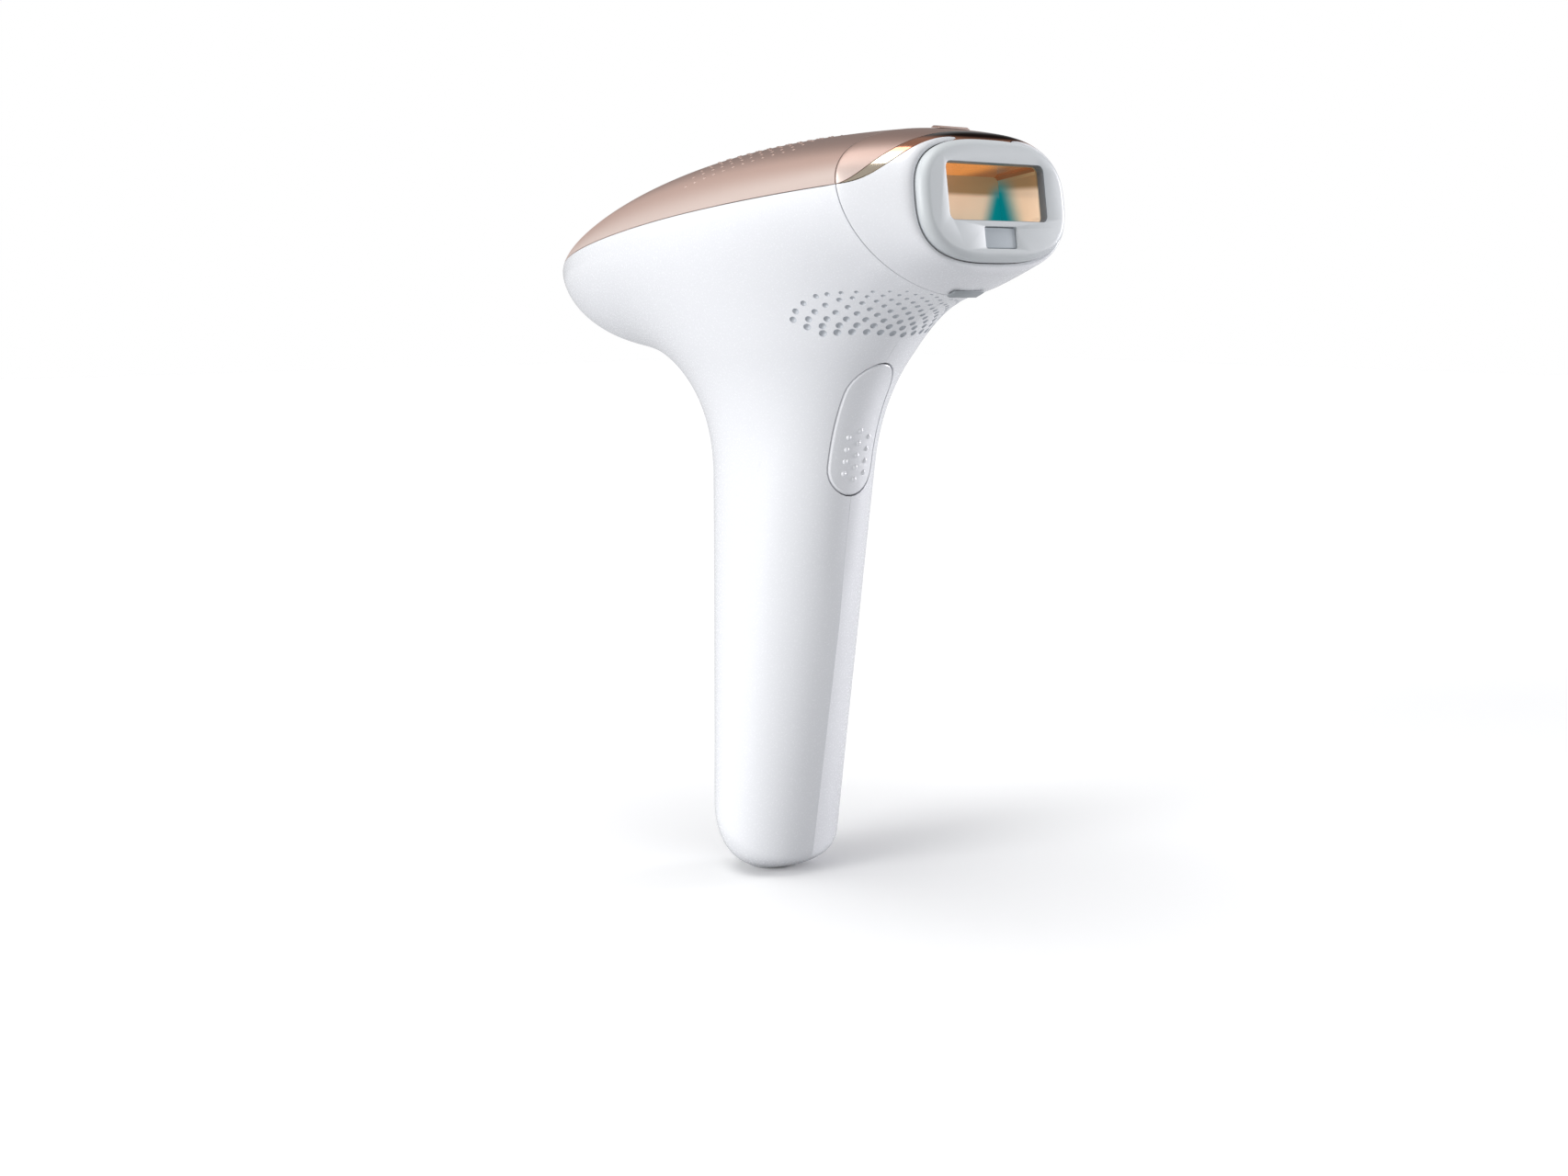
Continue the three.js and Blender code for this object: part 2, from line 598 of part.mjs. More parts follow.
// ---------- body shells ----------
const nose = slab([[-60, -60], [60, -60], [60, 60], [-60, 60]], -POD.length - 20, PANEL_AT);
const podSolid = (shape) => solid(geometryOf(shape), podMatrix);
const noseCut = podSolid(nose);

/** The trigger's outline as [y, z] points, grown all round by `grow`. */
const triggerOutline = (grow = 0) =>
  roundedRectangle(
    (TRIGGER.top + TRIGGER.bottom) / 2, TRIGGER.halfWidth + grow, (TRIGGER.top - TRIGGER.bottom) / 2 + grow,
    TRIGGER.halfWidth + grow - 0.01, 4,
  );
const triggerHole = slab(triggerOutline(0.35), 8, 60);

/** Centres of the vent dimples: staggered rows across the underside just behind the attachment. */
function ventCentres() {
  const centres = [];
  VENTS.starts.forEach((start, row) => {
    const z = VENTS.lowest + row * VENTS.pitchZ;
    const odd = row % 2;
    const count = Math.floor(start / VENTS.pitchY - odd / 2);
    for (let k = -count - odd; k <= count; k++) {
      const seed = new THREE.Vector3(60, (k + odd / 2) * VENTS.pitchY, z);
      centres.push({ p: settleForward(seed), radius: 1.05 - 0.075 * row });
    }
  });
  return centres;
}

/** Slides a point along X until it is on the body's front surface. */
function settleForward(seed) {
  let [low, high] = [5, 62];
  for (let i = 0; i < 26; i++) {
    const middle = (low + high) / 2;
    if (bodyForm(new THREE.Vector3(middle, seed.y, seed.z)) < 0) low = middle;
    else high = middle;
  }
  return new THREE.Vector3(low, seed.y, seed.z);
}

/** Outward unit normal of the body's form. */
function bodyNormal(p) {
  const step = 0.1;
  const value = bodyForm(p);
  const slope = new THREE.Vector3();
  for (const axis of ["x", "y", "z"]) {
    const q = p.clone();
    q[axis] += step;
    slope[axis] = (bodyForm(q) - value) / step;
  }
  return slope.normalize();
}

function dimple({ p, radius }) {
  const normal = bodyNormal(p);
  const turn = new THREE.Quaternion().setFromUnitVectors(new THREE.Vector3(0, -1, 0), normal);
  const middle = p.clone().addScaledVector(normal, 0.15);
  const matrix = new THREE.Matrix4().compose(middle, turn, new THREE.Vector3(1, 1, 1));
  return solid(new THREE.ConeGeometry(radius * 1.15, 1.5, 6), matrix);
}

/** A post that rises from a half's inner wall to the chassis frame and takes a screw. */
function screwPost([a, y]) {
  const wall = settle(fromPod(a, y, -20), -WALL / 2, [axisA, axisY]).sub(POD_ORIGIN).dot(axisC);
  const post = rod([a, y, wall], [a, y, CHASSIS_AT - GAP], 2.8, 12);
  return podSolid(post.subtract(rod([a, y, -19], [a, y, -5], 1.25, 10)));
}

function finishedHalf(side) {
  const mine = ventCentres()
    .filter(({ p }) => Math.sign(p.y) === side && Math.abs(p.y) > 1.6)
    .map(dimple);
  const cuts = wasm.Manifold.union([triggerHole, noseCut, ...mine]);
  const posts = SCREWS.filter(([, y]) => Math.sign(y) === side).map(screwPost);
  return wasm.Manifold.union([housingHalf(side).subtract(cuts), ...posts]);
}
add("housing_left", finishedHalf(1), white);
add("housing_right", finishedHalf(-1), white);
add("top_cover", largest(coverSolid().subtract(noseCut)), roseSatin);

// ---------- rear control panel ----------
/** Dome of the nose behind the panel's edge plane, as rings towards the tip. */
function panelSolid() {
  const rings = (depth) =>
    Array.from({ length: 5 }, (_, j) =>
      Array.from({ length: 24 }, (_, i) => {
        const angle = (i / 24) * 2 * Math.PI;
        const s0 = -(PANEL_AT - GAP) / POD.length;
        const s = Math.sin(lerp(Math.asin(s0), Math.PI / 2, j / 4));
        const sine = Math.sin(angle);
        const cosine = Math.cos(angle);
        const n = 2 / (sine > 0 ? POD.roundTop : POD.roundBottom);
        const height = sine > 0 ? crownHeight(s) : bellyDepth(s);
        const y = Math.sign(cosine) * POD.width * podTaper(s) * power(cosine, n);
        const c = Math.sign(sine) * height * podTaper(s) * power(sine, n);
        if (j === 4) return settle(fromPod(-POD.length, 0, 0), -depth, [axisY, axisC]);
        const held = j === 0 ? [axisA] : [];
        return settle(fromPod(j === 0 ? PANEL_AT - GAP : -s * POD.length, y, c), -depth, held);
      }),
    );
  return solid(thickPatch(rings(0), rings(1.8), true));
}
/** Station a of a level of the nose's dome at y and c. */
const noseSurface = (y, c, level = 0) =>
  settle(fromPod(-POD.length, y, c), level, [axisY, axisC]).sub(POD_ORIGIN).dot(axisA);

/** A button's cap: a short round pillar along a whose rear face is a level of the dome. */
function domePillar(y, c, radius, level, base) {
  const disc = [{ y, c, a: noseSurface(y, c, level) }];
  for (const share of [0.5, 1]) {
    for (let i = 0; i < 20; i++) {
      const angle = (i / 20) * 2 * Math.PI;
      const [py, pc] = [y + share * radius * Math.cos(angle), c + share * radius * Math.sin(angle)];
      disc.push({ y: py, c: pc, a: noseSurface(py, pc, level) });
    }
  }
  for (let i = 21; i <= 40; i++) disc.push({ ...disc[i], a: base });
  disc.push({ y, c, a: base });
  const faces = [];
  for (let i = 0; i < 20; i++) {
    const next = (i + 1) % 20;
    faces.push(0, 1 + i, 1 + next, 61, 41 + next, 41 + i);
    for (const row of [1, 21]) {
      faces.push(row + i, row + 20 + i, row + 20 + next, row + i, row + 20 + next, row + next);
    }
  }
  const geometry = new THREE.BufferGeometry();
  const values = disc.flatMap((p) => [p.a, p.y, p.c]);
  geometry.setAttribute("position", new THREE.Float32BufferAttribute(values, 3));
  geometry.setIndex(faces);
  return solid(geometry);
}

const BUTTONS = [
  { name: "power", y: BUTTON.y },
  { name: "intensity", y: -BUTTON.y },
];
const BOARD_AT = PANEL_AT + 6; // rear face of the control board
const LEVEL_LIGHTS = [-7.4, -3.7, 0, 3.7, 7.4].map((y) => ({ y, c: 2.2 - 0.02 * y * y }));
let panel = panelSolid();
for (const { y } of BUTTONS) {
  panel = panel.subtract(podSolid(rod([-160, y, BUTTON.c], [-120, y, BUTTON.c], BUTTON.radius + 0.35, 20)));
}
for (const { y, c } of LEVEL_LIGHTS) {
  panel = panel.subtract(podSolid(rod([-160, y, c], [-120, y, c], 1.0, 6)));
}
add("rear_panel", panel, greyPad);
for (const { name, y } of BUTTONS) {
  const { c, radius, proud, travel } = BUTTON;
  const base = noseSurface(y, c) + 3.4;
  const stem = rod([base - 0.5, y, c], [BOARD_AT - 2.2 - travel, y, c], 1.3, 10);
  addPod(`${name}_button`, domePillar(y, c, radius, proud, base).add(stem), greyPad);
  const body = roundedRectangle(c, 2.6, 2.6, 0.3, 1, y);
  addPod(`${name}_switch`, slab(body, BOARD_AT - 1.8, BOARD_AT - GAP), darkPlastic);
}
LEVEL_LIGHTS.forEach(({ y, c }, i) => {
  const a = noseSurface(y, c);
  addPod(`level_light_${i + 1}`, rod([a + 0.1, y, c], [a + 3.4, y, c], 0.7, 6), lamp);
});
addPod("control_board", slab(roundedRectangle(-2.5, 10.5, 7.5, 2, 1), BOARD_AT, BOARD_AT + 1.6), board);

// ---------- trigger ----------
function triggerSolid() {
  const grid = (depth) =>
    Array.from({ length: 9 }, (_, j) =>
      Array.from({ length: 7 }, (_, i) => {
        const y = lerp(11, -11, i / 6);
        const z = lerp(TRIGGER.bottom - 2, TRIGGER.top + 2, j / 8);
        const p = settleForward(new THREE.Vector3(0, y, z));
        return p.add(new THREE.Vector3(-depth, 0, 0));
      }),
    );
  return solid(thickPatch(grid(0), grid(TRIGGER.thick))).intersect(slab(triggerOutline(), 8, 60));
}
const triggerFront = (z) => settleForward(new THREE.Vector3(0, 0, z)).x;
const pivotX = triggerFront(TRIGGER.pivot) - 5.4;
const pusherX = triggerFront(TRIGGER.pusher);
const lug = slab(
  roundedRectangle(TRIGGER.pivot, 3, 3.4, 0.5, 1),
  pivotX - 2.4,
  triggerFront(TRIGGER.pivot) - 1.6,
);
const pusher = rod([pusherX - 4.6, 0, TRIGGER.pusher], [pusherX - 1.2, 0, TRIGGER.pusher], 1.6, 10);
const pinHole = rod([pivotX, -8, TRIGGER.pivot], [pivotX, 8, TRIGGER.pivot], 1.06, 12);
add("trigger_button", triggerSolid().add(lug).subtract(pinHole).add(pusher), white);
add("trigger_pin", rod([pivotX, -5.5, TRIGGER.pivot], [pivotX, 5.5, TRIGGER.pivot], 1.0, 12), steel);
add(
  "trigger_switch",
  box([pusherX - 11.4, -3, TRIGGER.pusher - 3], [pusherX - 6, 3, TRIGGER.pusher + 3]),
  darkPlastic,
);

/** A compression spring along X between two stations. */
function spring(low, high, y, z, radius, wire, turns) {
  const points = Array.from({ length: turns * 10 + 1 }, (_, i) => {
    const angle = (i / 10) * 2 * Math.PI;
    const x = lerp(low + wire, high - wire, i / (turns * 10));
    return new THREE.Vector3(x, y + radius * Math.cos(angle), z + radius * Math.sin(angle));
  });
  const section = new THREE.Shape(
    Array.from({ length: 5 }, (_, i) => {
      const angle = (i / 5) * 2 * Math.PI;
      return new THREE.Vector2(wire * Math.cos(angle), wire * Math.sin(angle));
    }),
  );
  const extrudePath = new THREE.CatmullRomCurve3(points);
  return solid(new THREE.ExtrudeGeometry(section, { steps: turns * 10, extrudePath, bevelEnabled: false }));
}
const springX = triggerFront(TRIGGER.spring) - TRIGGER.thick;
add("trigger_spring", spring(springX - 8.6, springX - 1.7, 0, TRIGGER.spring, 2.4, 0.3, 4), steel);

// ---------- handle ----------
const handleX = (z) => handleSection(z).x;
add(
  "main_capacitor",
  rod([handleX(-50), 0, -50], [handleX(12), 0, 12], 12.2, 24),
  sleeve,
);
add(
  "capacitor_cap",
  rod([handleX(13.2), 0, 13.2], [handleX(16), 0, 16], 11.4, 24),
  darkPlastic,
);
const inletX = handleX(END.z + END.flat);
const inletZ = END.z + END.flat;
add(
  "power_inlet",
  rod([inletX, 0, inletZ + 0.1], [inletX, 0, inletZ + INLET.depth], INLET.mouth - GAP - 0.1, 20)
    .subtract(rod([inletX, 0, inletZ - 1], [inletX, 0, inletZ + 11.5], INLET.bore, 20))
    .subtract(rod([inletX, 0, inletZ - 1], [inletX, 0, inletZ + 16], 0.85, 10)),
  darkPlastic,
);
add("inlet_pin", rod([inletX, 0, inletZ + 2], [inletX, 0, inletZ + 14.6], 0.75, 10), steel);

// ---------- front of the body, behind the attachment ----------
const bulkhead = slab(shrink(seamRing(-1.5, 32), 3.2), -3.4, -1.4, [windowOutline(0.4)])
  .subtract(slab(sensorOutline(0), -4, 0))
  .subtract(rod([-5, -PLUNGER_Y, WINDOW.centre], [1, -PLUNGER_Y, WINDOW.centre], 1.6, 12))
  .subtract(rod([-5, PLUNGER_Y, WINDOW.centre], [1, PLUNGER_Y, WINDOW.centre], 1.6, 12));
addPod("front_bulkhead", bulkhead, darkPlastic);
addPod("filter_glass", slab(windowOutline(0.1), GLASS.back, GLASS.front), filterGlass);
addPod("skin_sensor", slab(roundedRectangle(SENSOR.centre, 4.6, 1.9, 0.4, 1), -6, -2.4), darkPlastic);
const SIDES = [
  { side: "left", sign: 1 },
  { side: "right", sign: -1 },
];
for (const { side, sign } of SIDES) {
  const y = sign * PLUNGER_Y;
  const c = WINDOW.centre;
  addPod(`contact_plunger_${side}`, rod([-7.4, y, c], [0.9, y, c], 1.3, 12), lightPlastic);
  addPod(`contact_switch_${side}`, slab(roundedRectangle(c, 2.2, 3, 0.4, 1, y), -13.6, -9), darkPlastic);
}

// ---------- flash lamp and reflector ----------
const REFLECTOR = { back: -25, front: -4, depth: 6.9 };
function reflectorSolid() {
  const outer = [];
  const inner = [];
  for (let i = 0; i <= 12; i++) {
    const angle = lerp(-Math.PI / 2, Math.PI / 2, i / 12);
    const a = REFLECTOR.back + (REFLECTOR.front - REFLECTOR.back) * (1 - Math.cos(angle));
    outer.push([a - 0.8 * Math.cos(angle), WINDOW.centre + (REFLECTOR.depth + 0.8) * Math.sin(angle)]);
    inner.push([a, WINDOW.centre + REFLECTOR.depth * Math.sin(angle)]);
  }
  const shape = new THREE.Shape([...outer, ...inner.reverse()].map(([a, c]) => new THREE.Vector2(a, c)));
  const geometry = new THREE.ExtrudeGeometry(shape, { depth: 36, bevelEnabled: false, steps: 1 });
  const across = new THREE.Matrix4().makeRotationX(Math.PI / 2);
  return solid(geometry, across.setPosition(0, 18, 0));
}
addPod("reflector", reflectorSolid(), polished);
const LAMP_AT = -18.5;
addPod("flash_lamp", rod([LAMP_AT, -17, WINDOW.centre], [LAMP_AT, 17, WINDOW.centre], 2.6, 16), lamp);
for (const { side, sign } of SIDES) {
  addPod(
    `lamp_electrode_${side}`,
    rod([LAMP_AT, sign * 17.3, WINDOW.centre], [LAMP_AT, sign * 23.4, WINDOW.centre], 2.2, 12),
    steel,
  );
  const holder = slab(roundedRectangle(WINDOW.centre, 1.8, 8.6, 0.5, 1, sign * 20.6), -26, -5)
    .subtract(rod([LAMP_AT, sign * 16, WINDOW.centre], [LAMP_AT, sign * 26, WINDOW.centre], 2.5, 12));
  addPod(`lamp_holder_${side}`, holder, lightPlastic);
}

// ---------- cooling ----------
const FAN = { a: -62, depth: 10, half: 16, centre: -5, bore: 14.6 };
const fanHousing = slab(roundedRectangle(FAN.centre, FAN.half, FAN.half, 2, 1), FAN.a, FAN.a + FAN.depth)
  .subtract(rod([FAN.a + 2, 0, FAN.centre], [FAN.a + 11, 0, FAN.centre], FAN.bore, 28))
  .subtract(
    rod([FAN.a - 1, 0, FAN.centre], [FAN.a + 3, 0, FAN.centre], FAN.bore - 1.6, 28)
      .subtract(rod([FAN.a - 2, 0, FAN.centre], [FAN.a + 4, 0, FAN.centre], 5.2, 20))
      .subtract(slab(roundedRectangle(FAN.centre, 20, 1.2, 0.2, 1), FAN.a - 2, FAN.a + 4))
      .subtract(slab(roundedRectangle(FAN.centre, 1.2, 20, 0.2, 1), FAN.a - 2, FAN.a + 4)),
  );
addPod("fan_housing", fanHousing, darkPlastic);
let rotor = rod([FAN.a + 2.6, 0, FAN.centre], [FAN.a + 9.2, 0, FAN.centre], 5.6, 20);
for (let i = 0; i < 7; i++) {
  const blade = new THREE.BoxGeometry(5.4, 0.9, 9);
  const matrix = new THREE.Matrix4().makeRotationX((i / 7) * 2 * Math.PI);
  matrix.premultiply(new THREE.Matrix4().makeTranslation(FAN.a + 5.9, 0, FAN.centre));
  matrix.multiply(new THREE.Matrix4().makeTranslation(0, 0, 9.4));
  matrix.multiply(new THREE.Matrix4().makeRotationZ(0.55));
  rotor = rotor.add(solid(blade, matrix));
}
addPod("fan_rotor", rotor, darkPlastic);
const ductBack = roundedRectangle(FAN.centre, 15.5, 15.5, 2, 1);
const ductFront = roundedRectangle(WINDOW.centre, 18.6, 10.6, 2, 1);
const ductOutside = loft([
  [FAN.a + FAN.depth + GAP, ductBack],
  [-27, ductFront],
]);
const ductInside = loft([
  [FAN.a + FAN.depth - 1, shrink(ductBack, 1.2, FAN.centre)],
  [-26, shrink(ductFront, 1.2, WINDOW.centre)],
]);
addPod("air_duct", ductOutside.subtract(ductInside), lightPlastic);

// ---------- electronics in the pod ----------
let frame = box([-107, -16, CHASSIS_AT], [-64, 16, CHASSIS_AT + 1.6]);
for (const [a, y] of SCREWS) {
  frame = frame.subtract(rod([a, y, -20], [a, y, -5], 1.5, 12));
}
addPod("chassis_frame", frame, lightPlastic);
SCREWS.forEach(([a, y], i) => {
  const head = rod([a, y, -11.6], [a, y, -10.2], 2.6, 12);
  addPod(`screw_${i + 1}`, head.add(rod([a, y, -18], [a, y, -11], 1.15, 10)), steel);
});
addPod("power_board", box([-106, -9, -10], [-66, 9, -8.4]), board);
addPod("transformer", box([-90, -8, -8.1], [-73, 8, 4]), darkPlastic);
addPod("boost_inductor", rod([-99, 2, -8.1], [-99, 2, 0], 5.5, 18), copperWire);
addPod("trigger_coil", rod([-44, -24, -6], [-30, -24, -6], 4, 16), copperWire);

export default part;
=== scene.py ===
"""Looks of the IPL hair remover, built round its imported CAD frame.

Shapes are worked out in millimetres in the frame of the CAD (+X forwards to the light window, +Z up) and
turned into metres when a mesh is made. The pod has its own tilted frame: a forwards from the attachment seam,
y shared, c up across the pod.
"""

import json
import math

import bmesh
import bpy
import numpy as np
from mathutils import Matrix, Vector


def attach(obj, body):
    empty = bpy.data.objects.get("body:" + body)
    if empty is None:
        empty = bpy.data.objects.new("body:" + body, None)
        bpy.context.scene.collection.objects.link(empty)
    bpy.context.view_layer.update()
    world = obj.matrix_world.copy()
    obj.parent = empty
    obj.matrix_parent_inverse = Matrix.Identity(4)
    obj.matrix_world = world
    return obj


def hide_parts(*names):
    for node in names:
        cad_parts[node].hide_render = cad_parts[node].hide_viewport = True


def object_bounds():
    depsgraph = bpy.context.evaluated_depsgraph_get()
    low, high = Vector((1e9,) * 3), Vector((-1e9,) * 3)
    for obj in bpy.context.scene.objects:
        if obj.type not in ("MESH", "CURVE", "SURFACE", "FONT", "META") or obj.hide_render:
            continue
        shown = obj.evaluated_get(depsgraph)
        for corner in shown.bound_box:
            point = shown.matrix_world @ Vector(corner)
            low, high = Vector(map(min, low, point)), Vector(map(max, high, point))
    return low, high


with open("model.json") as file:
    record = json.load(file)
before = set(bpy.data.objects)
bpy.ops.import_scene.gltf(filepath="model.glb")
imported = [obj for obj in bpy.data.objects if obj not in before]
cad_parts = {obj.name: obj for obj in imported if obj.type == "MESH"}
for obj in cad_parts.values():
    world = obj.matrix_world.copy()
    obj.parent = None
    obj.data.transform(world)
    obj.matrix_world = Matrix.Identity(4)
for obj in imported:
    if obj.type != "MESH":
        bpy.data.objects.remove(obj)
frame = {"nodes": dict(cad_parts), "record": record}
cad_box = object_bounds()

# ---------- driving dimensions, millimetres ----------
GAP = 0.3
WALL = 2.2
COVER_WALL = 2
PANEL_WALL = 1.8
TILT = math.radians(8.4)
POD_ORIGIN = np.array([56.4, 0.0, 97.1])
POD = dict(
    length=142,
    width=36,  # half width at the seam
    top=13.9,  # height above the pod's axis at the seam
    crown=5.7,  # extra height half way along
    bottom=24.8,  # depth below the axis at the seam
    belly=7,  # extra depth at the nose
    round_top=2.28,
    round_bottom=1.8,
    taper=3.5,
)
COVER_LINE = dict(at_seam=0.0, at_nose=2.3, bow=2.4)
PARTING = 0.09  # half the fine gap between the cover and the white halves
MIDDLE_GAP = 0.03  # half the fine gap between the two halves
EDGE_DROP = 0.16  # how far a skin bends inwards at its edge
COVER_EDGE_DROP = 0.14
EDGE_BEND = 0.3  # share of that drop at the row next to the edge
PANEL_AT = -POD["length"] + 8.5
HANDLE = dict(lean=0.07, depth=20, depth_taper=0.086, width=18.6, width_taper=0.013, top=78, top_round=20)
END = dict(z=-77.3, cap_rear=22, cap_front=6.5, round=2.1, flat=0.8, share=0.42)
KEEL = dict(height=0.045, half_angle=0.3, fade_low=-12, fade_high=14, end_low=-77.5, end_high=-70)
BLEND = 34
GRIP_TOP = 22
INLET_MOUTH = 5
SEAM_SHARE = 0.4  # share of a half shell's columns that end on the attachment seam
# Shares of a half shell's rows at which the end's flat, its round edge and the straight grip are done.
FLAT_DONE, END_DONE, GRIP_DONE = 0.1, 0.27, 0.58
SHELL = dict(shoulder=12.7, half_width=25, half_height=15.4, n=2.6, wall=1.8, turn=1.2, groove=1.0)
PAD = dict(face=14.7, back=10.7, centre=-5.1, half_width=23.4, half_height=13.7, n=2.8, edge=2.2, fit=0.22)
WINDOW = dict(centre=-3.3, half_width=16, half_height=6.45, radius=1.5)
TUNNEL_WALL = 0.6
WINDOW_RIM = 2  # depth of the pad's own wall in front of the tunnel
SENSOR = dict(centre=-13.6, half_width=5.35, half_height=2.5, radius=0.6)
LENS = dict(gap=0.15, back=3.2, sunk=0.5)  # the sensor's window, measured from the pad's face
STRIP_BACK = dict(reach=9.7, rise=10, bend=0.5)
STRIP_FRONT = dict(reach=12, rise=9.4, bend=0.35)
STRIP_CLEAR, BESIDE_CLEAR = 0.06, 0.1  # how far the strip and the pieces beside it stay from its curves
CATCH = dict(low=0.7, high_top=3.4, high_bottom=3.6, half_width=5.4, rise=0.55, slope=1)
TRIGGER = dict(top=56.4, bottom=23.6, half_width=7.3, proud=0.25, thick=2.2, edge=0.9, gap=0.3)
TRIGGER_DOTS = dict(middle=27.7, sides=29.2, pitch=3, apart=3.3, radius=0.72, depth_share=0.6)
VENTS = dict(
    lowest=63.5,
    highest=74.9,
    level_fade=7.5,  # rows over which the steps between rows shrink
    pitch=3.45,
    widen=1.65,
    pitch_fade=3,  # rows over which the pitch widens
    wrap=21.5,  # radius that the lowest row wraps round
    wrap_growth=0.07,
    lift=0.1,  # rise of a row per millimetre from the middle
    droop=2.5e-4,  # fall of the lowest row with the cube of that distance
    droop_less=7e-5,  # how much less each of the next rows falls
    droop_rows=5,
    radius=0.98,
    shrink=0.05,
    depth_share=0.75,
)
# Pitches from the middle to the last dimple of each row, from the lowest row up.
VENT_STEPS = (6, 6.5, 7, 6.5, 6, 5.5, 5, 4.5, 4, 3.5, 3, 2.5)
CROWN_DOTS = dict(
    rear=-58, front=-20, half_rear=31, half_front=26.5, pitch_a=3.2, pitch_y=2.8, radius=0.45,
    depth_share=0.42,
)
BUTTON = dict(c=-3.8, y=4.7, radius=3.5, proud=0.45, edge=0.5, depth=3.4, gap=0.22)
LEVEL_LIGHT = dict(c=2.2, bow=0.02, pitch=3.7, radius=0.8, proud=0.12, edge=0.25, depth=2.5, gap=0.15)
GLASS = dict(back=-2.9, front=0.5, overlap=0.2)
# The camera: degrees, metres, and millimetres for its lens and its sensor.
CAMERA = dict(azimuth=41.27, down=8.43, distance=0.518, height=0.07443, shift=0.00109, lens=46.42, sensor=36)

AXIS_A = np.array([math.cos(TILT), 0.0, math.sin(TILT)])
AXIS_Y = np.array([0.0, 1.0, 0.0])
AXIS_C = np.array([-math.sin(TILT), 0.0, math.cos(TILT)])
POD_FRAME = np.stack([AXIS_A, AXIS_Y, AXIS_C])
FINE = 1.0  # share of the full mesh density


# ---------- the outer form as one implicit surface ----------
def from_pod(a, y, c):
    """Points given in the pod's frame, in the part's frame."""
    a, y, c = np.broadcast_arrays(*(np.asarray(v, float) for v in (a, y, c)))
    return POD_ORIGIN + np.stack([a, y, c], -1) @ POD_FRAME


def to_pod(points):
    return (points - POD_ORIGIN) @ POD_FRAME.T


def signed_power(value, n):
    return np.sign(value) * np.abs(value) ** n


def smoothstep(x, low, high):
    t = np.clip((x - low) / (high - low), 0, 1)
    return t * t * (3 - 2 * t)


def crown_height(s):
    return POD["top"] + POD["crown"] * 4 * s * (1 - s)


def belly_depth(s):
    return POD["bottom"] + POD["belly"] * s


def pod_taper(s):
    return np.sqrt(np.maximum(1 - s ** POD["taper"], 0))


def pod_form(points):
    a, y, c = np.moveaxis(to_pod(points), -1, 0)
    s = np.maximum(-a / POD["length"], 0)
    up = c > 0
    n = np.where(up, POD["round_top"], POD["round_bottom"])
    height = np.where(up, crown_height(np.minimum(s, 1)), belly_depth(np.minimum(s, 1)))
    ring = (np.abs(y / POD["width"]) ** n + np.abs(c / height) ** n) ** (1 / n)
    return np.sqrt(ring**2 + s ** POD["taper"]) - 1


def handle_section(z):
    """Centre x, half depth and half width of the handle at height z."""
    return (
        HANDLE["lean"] * z,
        HANDLE["depth"] + HANDLE["depth_taper"] * z,
        HANDLE["width"] + HANDLE["width_taper"] * z,
    )


def handle_form(points):
    x, y, z = np.moveaxis(points, -1, 0)
    centre, depth, width = handle_section(z)
    u, v = (x - centre) / depth, y / width
    rise = smoothstep(z, KEEL["end_low"], KEEL["end_high"])
    fade = 1 - smoothstep(z, KEEL["fade_low"], KEEL["fade_high"])
    ridge = KEEL["height"] * rise * fade * np.exp(-np.abs(np.arctan2(v, u)) / KEEL["half_angle"])
    ring = np.hypot(u, v) * (1 - ridge)
    cap = END["cap_rear"] + (END["cap_front"] - END["cap_rear"]) * (np.clip(u, -1, 1) + 1) / 2
    down = np.maximum((END["z"] + cap - z) / cap, 0)
    up = np.maximum((z - HANDLE["top"] + HANDLE["top_round"]) / HANDLE["top_round"], 0)
    n = END["round"]
    return (ring**n + down**n + up * up) ** (1 / n) - 1


def slope_of(form, points, step=0.05):
    """A form's values and its slopes."""
    value = form(points)
    slope = np.stack([(form(points + step * axis) - value) / step for axis in np.eye(3)], -1)
    return value, slope


def distance_to(form, points):
    value, slope = slope_of(form, points)
    return value / np.maximum(np.linalg.norm(slope, axis=-1), 1e-6)


def body_form(points):
    """Pod and handle joined with a wide fillet. Close to a distance in millimetres, below 0 inside."""
    pod, handle = distance_to(pod_form, points), distance_to(handle_form, points)
    overlap = np.maximum(BLEND - np.abs(pod - handle), 0)
    return np.minimum(pod, handle) - overlap**2 / (4 * BLEND)


def settle(points, level=0.0, held=(), rounds=12):
    """Moves points on to a level of the form, sliding only in the directions that `held` leaves free."""
    points = np.array(points, float)
    for _ in range(rounds):
        value, slope = slope_of(body_form, points)
        value = value - level
        for normal in held:
            slope = slope - (slope * normal).sum(-1, keepdims=True) * normal
        move = -slope * (value / np.maximum((slope**2).sum(-1), 1e-4))[..., None]
        length = np.linalg.norm(move, axis=-1, keepdims=True)
        points = points + move * np.minimum(1, 6 / np.maximum(length, 1e-9))
    return points


def normals_at(points):
    _, slope = slope_of(body_form, points)
    return slope / np.maximum(np.linalg.norm(slope, axis=-1, keepdims=True), 1e-9)


def on_front(y, z):
    """Points of the body's front surface at the given y and z, found by halving."""
    y, z = np.broadcast_arrays(np.asarray(y, float), np.asarray(z, float))
    low, high = np.full(y.shape, 5.0), np.full(y.shape, 62.0)
    for _ in range(26):
        middle = (low + high) / 2
        inside = body_form(np.stack([middle, y, z], -1)) < 0
        low, high = np.where(inside, middle, low), np.where(inside, high, middle)
    return np.stack([low, y, z], -1)


